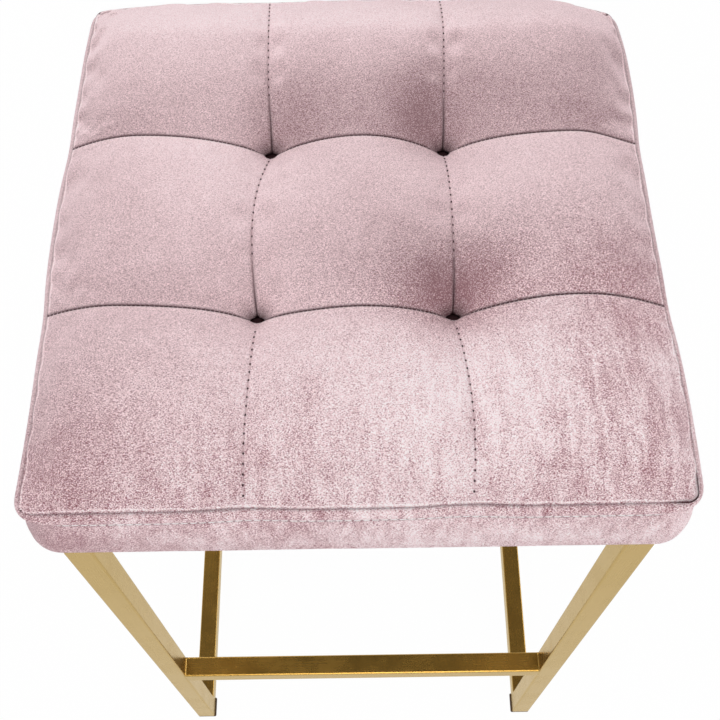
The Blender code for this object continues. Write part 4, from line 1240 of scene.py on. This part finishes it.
def math_node(tree, operation, first, second=0.0):
    item = add_node(tree, "ShaderNodeMath", {"operation": operation})
    connect(tree, first, item.inputs[0])
    connect(tree, second, item.inputs[1])
    return item.outputs[0]


def map_range(tree, value, given, wanted):
    """A value spread from its given range onto the wanted one, and held to it."""
    item = add_node(tree, "ShaderNodeMapRange")
    for number, socket in zip((value, *given, *wanted), item.inputs):
        connect(tree, number, socket)
    return item.outputs[0]


def opaque(tint):
    """A colour with full alpha; a socket stays as it is."""
    return tint if isinstance(tint, bpy.types.NodeSocket) else (*tint, 1)


def mix_colours(tree, factor, first, second):
    """A colour from the first at 0 to the second at 1."""
    item = add_node(tree, "ShaderNodeMix", {"data_type": "RGBA"})
    for place, value in zip(MIX_INPUTS, (factor, opaque(first), opaque(second))):
        connect(tree, value, item.inputs[place])
    return item.outputs[MIX_OUTPUT]


def noise(tree, vector, scale, detail=2.0, roughness=0.5, distortion=0.0):
    return add_node(tree, "ShaderNodeTexNoise", Vector=vector, Scale=scale, Detail=detail,
                    Roughness=roughness, Distortion=distortion).outputs[0]


def coordinates(tree, kind="Object"):
    return tree.nodes.new("ShaderNodeTexCoord").outputs[kind]


def axes(tree, vector):
    """The X, Y and Z of a vector."""
    return tuple(add_node(tree, "ShaderNodeSeparateXYZ", Vector=vector).outputs)


def stretched(tree, vector, scale, turn=0.0):
    """Coordinates turned about Z and scaled along each axis, to draw a texture out."""
    return add_node(tree, "ShaderNodeMapping", Vector=vector, Rotation=(0, 0, turn), Scale=scale).outputs[0]


def mask(tree, name):
    """The value of a mesh's mask."""
    return add_node(tree, "ShaderNodeAttribute", {"attribute_name": name}).outputs["Fac"]


# Mean tone of the pile, and the share of its clouds in its relief
MEAN_TONE = 0.59
CLOUD_RELIEF = 0.3


def pile_group():
    """Short pile: worm-like tufts of fibre, streaks where hands have brushed it, and broad clouds.

    Tone is how light the pile looks; Height is its relief.
    """
    group, given, out = new_group("short_pile", ("Grain", "Cloud", "Streak"), ("Tone", "Height"))
    vector = given["Vector"]
    lie = stretched(group, vector, (0.72, 1.15, 1.0), turn=-0.9)
    worms = noise(group, lie, scale=1700, detail=1.0, distortion=0.6)
    grain = map_range(group, worms, (0.32, 0.68), ABOUT_ZERO)
    clouds = noise(group, vector, scale=42, detail=4.0, roughness=0.65, distortion=0.8)
    clouds = map_range(group, clouds, NOISE_RANGE, ABOUT_ZERO)
    broad = map_range(group, noise(group, vector, scale=11, distortion=0.3), NOISE_RANGE, ABOUT_ZERO)
    brushed = stretched(group, vector, (150, 26, 60), turn=0.12)
    streaks = noise(group, brushed, scale=1.0, detail=3.0, roughness=0.6, distortion=0.4)
    streaks = map_range(group, streaks, (0.35, 0.7), ABOUT_ZERO)
    tone = math_node(group, "MULTIPLY", grain, given["Grain"])
    for value, strength in ((math_node(group, "ADD", clouds, broad), "Cloud"), (streaks, "Streak")):
        tone = math_node(group, "ADD", tone, math_node(group, "MULTIPLY", value, given[strength]))
    height = math_node(group, "ADD", worms, math_node(group, "MULTIPLY", clouds, CLOUD_RELIEF))
    set_inputs(group, out, Tone=math_node(group, "ADD", tone, MEAN_TONE), Height=height)
    return group


# How much rougher the blotches of handling make the metal
SMUDGE = 0.08


def brush_group():
    """Brushed or drawn metal: fine streaks along the vector's X, and blotches of handling."""
    group, given, out = new_group("brushed_metal", ("Depth",), ("Roughness change", "Tone", "Height"))
    vector = given["Vector"]
    streaks = noise(group, stretched(group, vector, (12, 1400, 1400)), scale=1.0, detail=3.0, roughness=0.6)
    coarse = noise(group, stretched(group, vector, (5, 260, 260)), scale=1.0)
    blotch = noise(group, vector, scale=26, detail=3.0, roughness=0.6)
    change = math_node(group, "MULTIPLY", map_range(group, streaks, NOISE_RANGE, ABOUT_ZERO), given["Depth"])
    smudge = math_node(group, "MULTIPLY", map_range(group, blotch, (0.4, 0.75), UP_TO_ONE), SMUDGE)
    set_inputs(group, out, Roughness_change=math_node(group, "ADD", change, smudge),
               Tone=map_range(group, coarse, NOISE_RANGE, UP_TO_ONE),
               Height=math_node(group, "ADD", streaks, coarse))
    return group


def new_material(name, **sockets):
    """A node material; uniform values are set on the shader's own sockets."""
    material = bpy.data.materials.new(name)
    material.use_nodes = True
    tree = material.node_tree
    shader = tree.nodes["Principled BSDF"]
    set_inputs(tree, shader, **sockets)
    return material, tree, shader


def add_bump(tree, shader, height, strength, distance):
    bump = add_node(tree, "ShaderNodeBump", Height=height, Strength=strength, Distance=distance)
    set_inputs(tree, shader, Normal=bump.outputs[0])


def sheenless_shade_copy(material):
    """A shaded copy of the material: without its sheen, it paints shade in the depth of seams and wells."""
    name = material.name + "_deep"
    copy = bpy.data.materials.get(name)
    if copy is None:
        copy = material.copy()
        copy.name = name
        copy.node_tree.nodes["Principled BSDF"].inputs["Sheen Weight"].default_value = 0
    return copy


# The seat is used most at its right and front: use is a share of x less a share of y
USE_RIGHT, USE_FRONT = 0.5, 1.4

# Use between which the streaks, the strong grain, the clouds and the used pile's dark come up
STREAK_USE = (0.12, 0.26)
GRAIN_USE = (0.03, 0.20)
CLOUD_USE = (0.0, 0.20)
DARK_USE = (0.06, 0.20)

# The clouds' contrast where the seat is used least and most, as shares of the look's own
CLOUD_LEAST, CLOUD_MOST = 0.7, 2.0

# Tones between which the tips of the pile take a painted highlight, the glint, and the height of its relief
PAINTED_GLINT_TONES = (0.95, 1.6)
PILE_HEIGHT = 0.0006


def velvet_material(name, look):
    """Blush velvet: a soft sheen over pile whose tone wanders, with painted shade in its seams and wells
    from the crease mask.

    Brushed streaks and the grain show most towards the front and the right, where the seat is used.
    """
    material, tree, shader = new_material(
        name, Roughness=look.roughness, Sheen_Weight=look.sheen, Sheen_Roughness=look.sheen_roughness,
        Sheen_Tint=opaque(look.sheen_tint), Specular_IOR_Level=0.15)
    place = coordinates(tree)
    x, y, _ = axes(tree, place)
    used = math_node(tree, "SUBTRACT", math_node(tree, "MULTIPLY", x, USE_RIGHT),
                     math_node(tree, "MULTIPLY", y, USE_FRONT))
    pile = add_group(
        tree, "short_pile", pile_group, Vector=place,
        Streak=map_range(tree, used, STREAK_USE, (0, look.streak)),
        Grain=map_range(tree, used, GRAIN_USE, (look.fine_grain, look.grain)),
        Cloud=map_range(tree, used, CLOUD_USE, (look.cloud * CLOUD_LEAST, look.cloud * CLOUD_MOST)))
    # The pile's tone takes the painted light and shade of the nap and painted light mask
    tone = math_node(tree, "ADD", pile.outputs["Tone"], mask(tree, "nap"))
    dark = mix_colours(tree, map_range(tree, used, DARK_USE, UP_TO_ONE), look.dark, look.dark_used)
    base = mix_colours(tree, tone, dark, look.light)
    # Painted highlight: the lightest tones are mixed towards the glint colour
    base = mix_colours(tree, map_range(tree, tone, PAINTED_GLINT_TONES, UP_TO_ONE), base, look.painted_glint)
    # Painted shade: the crease mask darkens the velvet towards the shade colour in seams, wells and gaps
    base = mix_colours(tree, mask(tree, "crease"), base, look.shade)
    set_inputs(tree, shader, Base_Color=base)
    add_bump(tree, shader, pile.outputs["Height"], look.relief, PILE_HEIGHT)
    return material


class VelvetLook(PropertyGroup):
    """Colours and pile of the velvet."""

    # Dark and light pile, mixed by the pile's random tone and by the painted light and shade of the nap mask
    dark: colour("Dark pile", "Velvet where the pile leans away", (0.27, 0.150, 0.164))
    dark_used: colour("Dark used pile", "Leaning pile where the seat is used", (0.31, 0.118, 0.140))
    light: colour("Light pile", "Velvet where the pile catches the light", (0.98, 0.742, 0.768))
    # Colour of the painted highlight on the lightest tips of the pile
    painted_glint: colour("Glint", "The lightest tips of the pile", (1.0, 0.93, 0.94))
    # Colour of the painted shade in seams and wells
    shade: colour("Seam shade", "Velvet deep in a seam or a tuft's well", (0.028, 0.004, 0.006))
    sheen_tint: colour("Sheen tint", "Colour of the sheen", (1.0, 0.82, 0.85))
    sheen: share("Sheen", "Weight of the sheen", 0.60)
    sheen_roughness: share("Sheen roughness", "Spread of the sheen", 0.40)
    roughness: share("Roughness", "Roughness under the sheen", 0.9)
    grain: share("Grain", "Contrast of the fine pile where the seat is used", 1.75)
    fine_grain: share("Fine grain", "Contrast of the fine pile towards the rear", 0.80)
    cloud: share("Cloud", "Contrast of the broad nap", 0.14)
    streak: share("Streak", "Contrast of the brushed streaks where the seat is used", 0.65)
    relief: share("Relief", "Strength of the pile's bump", 0.8)


class MetalLook(PropertyGroup):
    """Colours and finish of the metals."""

    gold: colour("Gold", "Colour of the satin gold plating", (0.52, 0.368, 0.142))
    gold_deep: colour("Deep gold", "Gold in the darker streaks", (0.50, 0.353, 0.135))
    # Painted reflection of the seat's shaded underside, on faces that look up
    gold_painted_reflection: colour("Level gold", "Gold on faces that look up at the seat", (0.53, 0.305, 0.065))
    gold_edge: colour("Gold edge", "Colour of the gold at a grazing angle", (0.90, 0.83, 0.68))
    roughness: share("Roughness", "Roughness of the satin gold", 0.24)
    streaks: share("Streaks", "Depth of the brushed streaks in the roughness", 0.04)
    zinc: colour("Zinc", "Colour of the zinc-plated steel", (0.62, 0.63, 0.64))
    zinc_dull: colour("Dull zinc", "Zinc in its duller crystals", (0.50, 0.51, 0.53))


class PlainLook(PropertyGroup):
    """Colours of the thread, the wood, the lining and the plastic."""

    thread: colour("Thread", "Sewing thread of the panel seams", (0.80, 0.60, 0.63))
    edge_thread: colour("Edge thread", "Paler thread of the edge seam", (0.98, 0.93, 0.93))
    # Painted shade of the needle holes' insides
    hole: colour("Hole", "Velvet pinched into a needle hole", (0.045, 0.016, 0.020))
    twine: colour("Twine", "Waxed twine of the tufts", (0.80, 0.76, 0.66))
    lining: colour("Lining", "Black lining under the seat", (0.018, 0.018, 0.020))
    nylon: colour("Nylon", "Brown nylon of the foot pads", (0.085, 0.050, 0.028))
    birch: colour("Birch", "Pale wood of the board", (0.70, 0.53, 0.34))
    birch_grain: colour("Birch grain", "Darker grain of the board", (0.52, 0.36, 0.20))


# Painted reflection: a face counts as level, and takes the deeper gold, more and more between these heights
# of its normal
LEVEL_NORMALS = (0.5, 0.9)


def gold_material(name, look, coordinate):
    """Satin gold: brushed along the tube, by its UV map or, on flat plates, by its place.

    Faces that look up are painted a deeper gold: a painted reflection of the shaded underside of the seat.
    """
    material, tree, shader = new_material(name, Metallic=0.92, Specular_Tint=opaque(look.gold_edge))
    brush = add_group(tree, "brushed_metal", brush_group, Vector=coordinates(tree, coordinate),
                      Depth=look.streaks)
    normal = tree.nodes.new("ShaderNodeNewGeometry").outputs["Normal"]
    # Painted reflection: faces that look up are mixed towards the deeper gold
    level = map_range(tree, axes(tree, normal)[2], LEVEL_NORMALS, UP_TO_ONE)
    plating = mix_colours(tree, brush.outputs["Tone"], look.gold_deep, look.gold)
    set_inputs(tree, shader, Base_Color=mix_colours(tree, level, plating, look.gold_painted_reflection),
               Roughness=math_node(tree, "ADD", brush.outputs["Roughness change"], look.roughness))
    add_bump(tree, shader, brush.outputs["Height"], strength=0.03, distance=0.0002)
    return material


# Roughness of the zinc's duller and glossier crystals
ZINC_ROUGHNESS = (0.26, 0.40)


def zinc_material(name, look):
    """Zinc-plated steel: small crystals of two greys, each with its own gloss."""
    material, tree, shader = new_material(name, Metallic=1.0)
    crystals = noise(tree, coordinates(tree), scale=900)
    set_inputs(tree, shader, Base_Color=mix_colours(tree, crystals, look.zinc_dull, look.zinc),
               Roughness=map_range(tree, crystals, NOISE_RANGE, ZINC_ROUGHNESS))
    add_bump(tree, shader, crystals, strength=0.05, distance=0.0001)
    return material


# Fibre and moulded surfaces: scale of the noise and its stretch, roughness, and depth of the tones
FIBRES = {
    "sewing_thread": (1500, (1, 1, 1), 0.6, 0.12),
    "edge_thread": (1500, (1, 1, 1), 0.6, 0.05),
    # The needle holes are painted dark with shade
    "needle_hole": (1500, (1, 1, 1), 0.9, 0.3),
    "black_lining": (700, (1, 1, 1), 0.85, 0.5),
    "brown_nylon": (900, (1, 1, 0.4), 0.5, 0.15),
    "waxed_twine": (1200, (1, 1, 0.3), 0.5, 0.2),
}


def fibre_material(name, base):
    """Matt fibre or moulded surface: noise drawn out along one way, in colour and relief."""
    scale, stretch, roughness, depth = FIBRES[name]
    material, tree, shader = new_material(name, Roughness=roughness, Specular_IOR_Level=0.3)
    drawn = stretched(tree, coordinates(tree), stretch)
    fibres = noise(tree, drawn, scale, detail=3.0, roughness=0.6, distortion=0.5)
    low = tuple(part * (1 - depth) for part in base)
    high = tuple(min(part * (1 + depth), 1) for part in base)
    tone = map_range(tree, fibres, NOISE_RANGE, UP_TO_ONE)
    set_inputs(tree, shader, Base_Color=mix_colours(tree, tone, low, high))
    add_bump(tree, shader, fibres, strength=0.3, distance=0.0002)
    return material


# Height of a pair of the board's plies, and the parts that the grain and the plies have in its tone
PLY_PITCH = 0.0030
GRAIN_TONE = (0, 0.8)
PLY_TONE = (0, 0.25)


def wood_material(name, look):
    """Birch plywood: long grain on the faces, and the plies as level stripes round the edge."""
    material, tree, shader = new_material(name, Roughness=0.6, Specular_IOR_Level=0.3)
    place = coordinates(tree)
    grain = noise(tree, stretched(tree, place, (8, 120, 30)), scale=1.0, detail=4.0, roughness=0.6,
                  distortion=1.2)
    turns = math_node(tree, "MULTIPLY", axes(tree, place)[2], 2 * math.pi / PLY_PITCH)
    plies = map_range(tree, math_node(tree, "SINE", turns), (-0.2, 0.2), PLY_TONE)
    tone = math_node(tree, "ADD", map_range(tree, grain, NOISE_RANGE, GRAIN_TONE), plies)
    set_inputs(tree, shader, Base_Color=mix_colours(tree, tone, look.birch, look.birch_grain))
    add_bump(tree, shader, grain, strength=0.2, distance=0.0002)
    return material


def finish_nodes(prefixes, material):
    """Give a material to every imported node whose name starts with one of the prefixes."""
    for name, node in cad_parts.items():
        if name.startswith(prefixes):
            node.data.materials.clear()
            node.data.materials.append(material)


# Camera, lamps and floor

class StudioSizes(PropertyGroup):
    """Place of the camera and strength of the lamps."""

    camera: FloatVectorProperty(
        name="Camera", description="Place of the camera", default=(0.003078, -0.405340, 1.224190),
        size=3, subtype="TRANSLATION", unit="LENGTH", precision=6)
    down: angle("Down", "How far the camera looks down", 1.12981871)
    aside: angle("Aside", "How far the camera looks aside", -0.00422096)
    roll: angle("Roll", "Roll of the camera", 0.01869583)
    lens: amount("Lens", "Focal length on a 36 mm sensor", 51.996, unit="CAMERA")
    shift: amount("Shift", "Vertical shift of the frame", 0.0972)
    key: power("Key", "Power of the lamp behind the seat", 36)
    fill: power("Fill", "Power of the lamp in front", 15)
    over: power("Over", "Power of the wide lamp overhead", 27)
    side: power("Side", "Power of the low lamp at the right", 8)
    horizon: colour("Horizon", "Light that comes in level", (1.0, 1.0, 1.0))
    zenith: colour("Zenith", "Light that comes from above", (0.16, 0.16, 0.165))
    world: amount("World", "Strength of the light all round", 0.75)
    floor: colour("Floor", "Colour of the floor", (0.86, 0.86, 0.86))
    floor_size: length("Floor size", "Width of the square floor", 8.0)


# Width of the camera's sensor in millimetres
SENSOR = 36

# Lamps: name, place, height over the stool's middle that each is aimed at, and size
LAMPS = (
    ("key", (-1.3, 2.1, 1.9), UPPER_SEAM, 1.0),
    ("fill", (0.2, -2.2, 1.9), UPPER_SEAM, 1.2),
    ("over", (0.1, -1.0, 3.2), UPPER_SEAM, 1.5),
    ("side", (2.0, 0.2, 0.9), UPPER_SEAM / 2, 1.0),
)

# The light all round changes from the horizon's to the zenith's between these heights of its direction
DARKENING = (0.15, 0.85)

# Floor: lines each way, its darker tone as a share of its colour, and how white it is to the eye
FLOOR_LINES = 9
FLOOR_DARK = 0.985
FLOOR_WHITE = 0.98


def add_camera(studio):
    """A camera that looks down and aside by two angles, then rolls about its own view line."""
    down, aside, roll = studio.down, studio.aside, studio.roll
    ahead = Vector((math.sin(aside) * math.cos(down), math.cos(aside) * math.cos(down), -math.sin(down)))
    right = Vector((math.cos(aside), -math.sin(aside), 0))
    below = ahead.cross(right)
    rolled_right = math.cos(roll) * right + math.sin(roll) * below
    rolled_below = math.cos(roll) * below - math.sin(roll) * right
    data = bpy.data.cameras.new("camera")
    data.sensor_width = SENSOR
    data.lens = studio.lens
    data.shift_y = studio.shift
    camera = add_object("camera", data)
    turn = Matrix((rolled_right, -rolled_below, -ahead)).transposed().to_4x4()
    camera.matrix_world = Matrix.Translation(studio.camera) @ turn
    bpy.context.scene.camera = camera


def add_lamp(name, place, target, size, watts):
    """A round lamp, aimed at the target."""
    data = bpy.data.lights.new(name, "AREA")
    data.shape = "DISK"
    data.size = size
    data.energy = watts
    aim = Vector(target) - Vector(place)
    turn = aim.to_track_quat("-Z", "Y").to_matrix().to_4x4()
    add_object(name, data).matrix_world = Matrix.Translation(place) @ turn


def light_world(studio):
    """Pale at the horizon, darker overhead, as in a studio with a dark ceiling."""
    world = bpy.data.worlds.new("studio")
    world.use_nodes = True
    bpy.context.scene.world = world
    tree = world.node_tree
    height = map_range(tree, axes(tree, coordinates(tree, "Generated"))[2], DARKENING, UP_TO_ONE)
    light = mix_colours(tree, height, studio.horizon, studio.zenith)
    set_inputs(tree, tree.nodes["Background"], Color=light, Strength=studio.world)


def build_floor(studio):
    """A plain floor: flat grid of places, white to the eye, with the stool's faint shadow kept."""
    line = np.linspace(-0.5, 0.5, FLOOR_LINES) * studio.floor_size
    x, y = np.meshgrid(line, line, indexing="ij")
    points = np.stack([x, y, np.zeros_like(x)], axis=-1).reshape(-1, 3)
    quads, _ = lattice(len(line), len(line))
    mesh = make_mesh("studio_floor", points, [quads])
    material, tree, shader = new_material("studio_floor", Roughness=0.9, Specular_IOR_Level=0.0)
    shade = tuple(FLOOR_DARK * part for part in studio.floor)
    grain = noise(tree, coordinates(tree), scale=3)
    set_inputs(tree, shader, Base_Color=mix_colours(tree, grain, shade, studio.floor))
    glow = add_node(tree, "ShaderNodeEmission", Color=(1, 1, 1, 1), Strength=1.0)
    seen = tree.nodes.new("ShaderNodeLightPath").outputs
    watched = math_node(tree, "MAXIMUM", seen["Is Camera Ray"], seen["Is Glossy Ray"])
    white = math_node(tree, "MULTIPLY", watched, FLOOR_WHITE)
    blend = tree.nodes.new("ShaderNodeMixShader")
    for source, socket in zip((white, shader.outputs[0], glow.outputs[0]), blend.inputs):
        tree.links.new(source, socket)
    set_inputs(tree, tree.nodes["Material Output"], Surface=blend.outputs[0])
    mesh.materials.append(material)
    floor = add_object("studio_floor", mesh)


# Operators

class StudioOperator(Operator):
    """Put up the camera, the lamps, the world and the floor"""

    bl_idname = "stool.studio"
    bl_label = "Studio"

    def execute(self, context):
        studio = context.scene.stool_studio
        context.scene.view_settings.view_transform = "Standard"
        add_camera(studio)
        for name, place, aim, size in LAMPS:
            add_lamp(f"{name}_lamp", place, (0, 0, aim), size, getattr(studio, name))
        light_world(studio)
        build_floor(studio)
        return {"FINISHED"}


class CushionOperator(Operator):
    """Make the tufted velvet cushion"""

    bl_idname = "stool.cushion"
    bl_label = "Seat cushion"

    def execute(self, context):
        velvet = velvet_material("pink_velvet", context.scene.stool_velvet)
        mesh = build_cushion(context.scene.stool_cushion)
        cushion = add_piece(mesh, velvet, ("velvet_top", "edge_band", "boxing", "foam_pad"))
        return {"FINISHED"}


class ButtonsOperator(Operator):
    """Make the four covered buttons"""

    bl_idname = "stool.buttons"
    bl_label = "Tuft buttons"

    def execute(self, context):
        velvet = velvet_material("button_velvet", context.scene.stool_velvet)
        for (end, side), place in TUFTS.items():
            mesh = build_button(f"covered_button_{end}_{side}", place)
            add_piece(mesh, velvet, (f"tuft_button_{end}_{side}",))
        return {"FINISHED"}


class SewingOperator(Operator):
    """Sew the seams: threads and the needle holes between them"""

    bl_idname = "stool.sewing"
    bl_label = "Seam stitches"

    def execute(self, context):
        size = context.scene.stool_cushion
        sewing = context.scene.stool_sewing
        look = context.scene.stool_plain
        for build, name, base in (
                (build_stitches, "sewing_thread", look.thread),
                (build_edge_stitches, "edge_thread", look.edge_thread),
                (build_needle_holes, "needle_hole", look.hole)):
            add_piece(build(size, sewing), fibre_material(name, base))
        return {"FINISHED"}


class UndersideOperator(Operator):
    """Cover the board's underside, staple the cover, and finish the board, plates, bolts and feet"""

    bl_idname = "stool.underside"
    bl_label = "Underside"

    def execute(self, context):
        sewing = context.scene.stool_sewing
        look = context.scene.stool_plain
        metal = context.scene.stool_metal
        lining = fibre_material("black_lining", look.lining)
        mesh, flat = build_dust_cover(sewing)
        cover = add_piece(mesh, lining, ("dust_cover",))
        thickness = cover.modifiers.new("thickness", "SOLIDIFY")
        thickness.thickness = LINING_THICKNESS
        thickness.offset = 0
        zinc = zinc_material("zinc_steel", metal)
        staples = add_piece(build_staples(sewing), zinc)
        finish_nodes(("seat_bolt", "seat_washer", "board_nut", "twine_anchor"), zinc)
        finish_nodes(("corner_plate",), gold_material("satin_gold_plate", metal, "Object"))
        finish_nodes(("foot_pad",), fibre_material("brown_nylon", look.nylon))
        finish_nodes(("tuft_twine",), fibre_material("waxed_twine", look.twine))
        finish_nodes(("seat_board",), wood_material("birch_plywood", look))
        return {"FINISHED"}


class FrameOperator(Operator):
    """Make the welded tube frame and its satin gold finish"""

    bl_idname = "stool.frame"
    bl_label = "Tube frame"

    def execute(self, context):
        size = context.scene.stool_frame
        look = context.scene.stool_metal
        gold = gold_material("satin_gold_tube", look, "UV")
        for side in SIDES:
            mesh = build_side_loop(f"side_loop_{side}", SIGN[side] * (FRAME_HIGH[0] - TUBE / 2), size)
            parts = [f"{part}_{side}" for part in ("front_leg", "rear_leg", "floor_rail", "top_rail")]
            add_piece(mesh, gold, parts)
        for node, low_weld, high_weld in CROSS_BARS:
            mesh = build_cross_bar(f"{node}_tube", node, size, low_weld, high_weld)
            add_piece(mesh, gold, (node,))
        return {"FINISHED"}


class StoolPanel(Panel):
    """Buttons that build the stool's pieces"""

    bl_idname = "VIEW3D_PT_stool"
    bl_label = "Counter stool"
    bl_space_type = "VIEW_3D"
    bl_region_type = "UI"
    bl_category = "Stool"

    def draw(self, context):
        for operator in OPERATORS:
            self.layout.operator(operator.bl_idname)
        for name, _ in SETTINGS:
            settings = getattr(context.scene, name)
            box = self.layout.box()
            for key in settings.bl_rna.properties.keys():
                if key not in ("rna_type", "name"):
                    box.prop(settings, key)


OPERATORS = (
    StudioOperator, CushionOperator, ButtonsOperator, SewingOperator, FrameOperator, UndersideOperator)
SETTINGS = (
    ("stool_cushion", CushionSizes),
    ("stool_sewing", SewingSizes),
    ("stool_frame", FrameSizes),
    ("stool_velvet", VelvetLook),
    ("stool_metal", MetalLook),
    ("stool_plain", PlainLook),
    ("stool_studio", StudioSizes),
)


def register():
    for name, group in SETTINGS:
        bpy.utils.register_class(group)
        setattr(bpy.types.Scene, name, PointerProperty(type=group))
    for item in (*OPERATORS, StoolPanel):
        bpy.utils.register_class(item)


def unregister():
    for item in (*OPERATORS, StoolPanel):
        bpy.utils.unregister_class(item)
    for name, group in SETTINGS:
        delattr(bpy.types.Scene, name)
        bpy.utils.unregister_class(group)


def main():
    register()
    for operator in OPERATORS:
        getattr(bpy.ops.stool, operator.bl_idname.split(".")[1])()


if __name__ == "__main__":
    main()
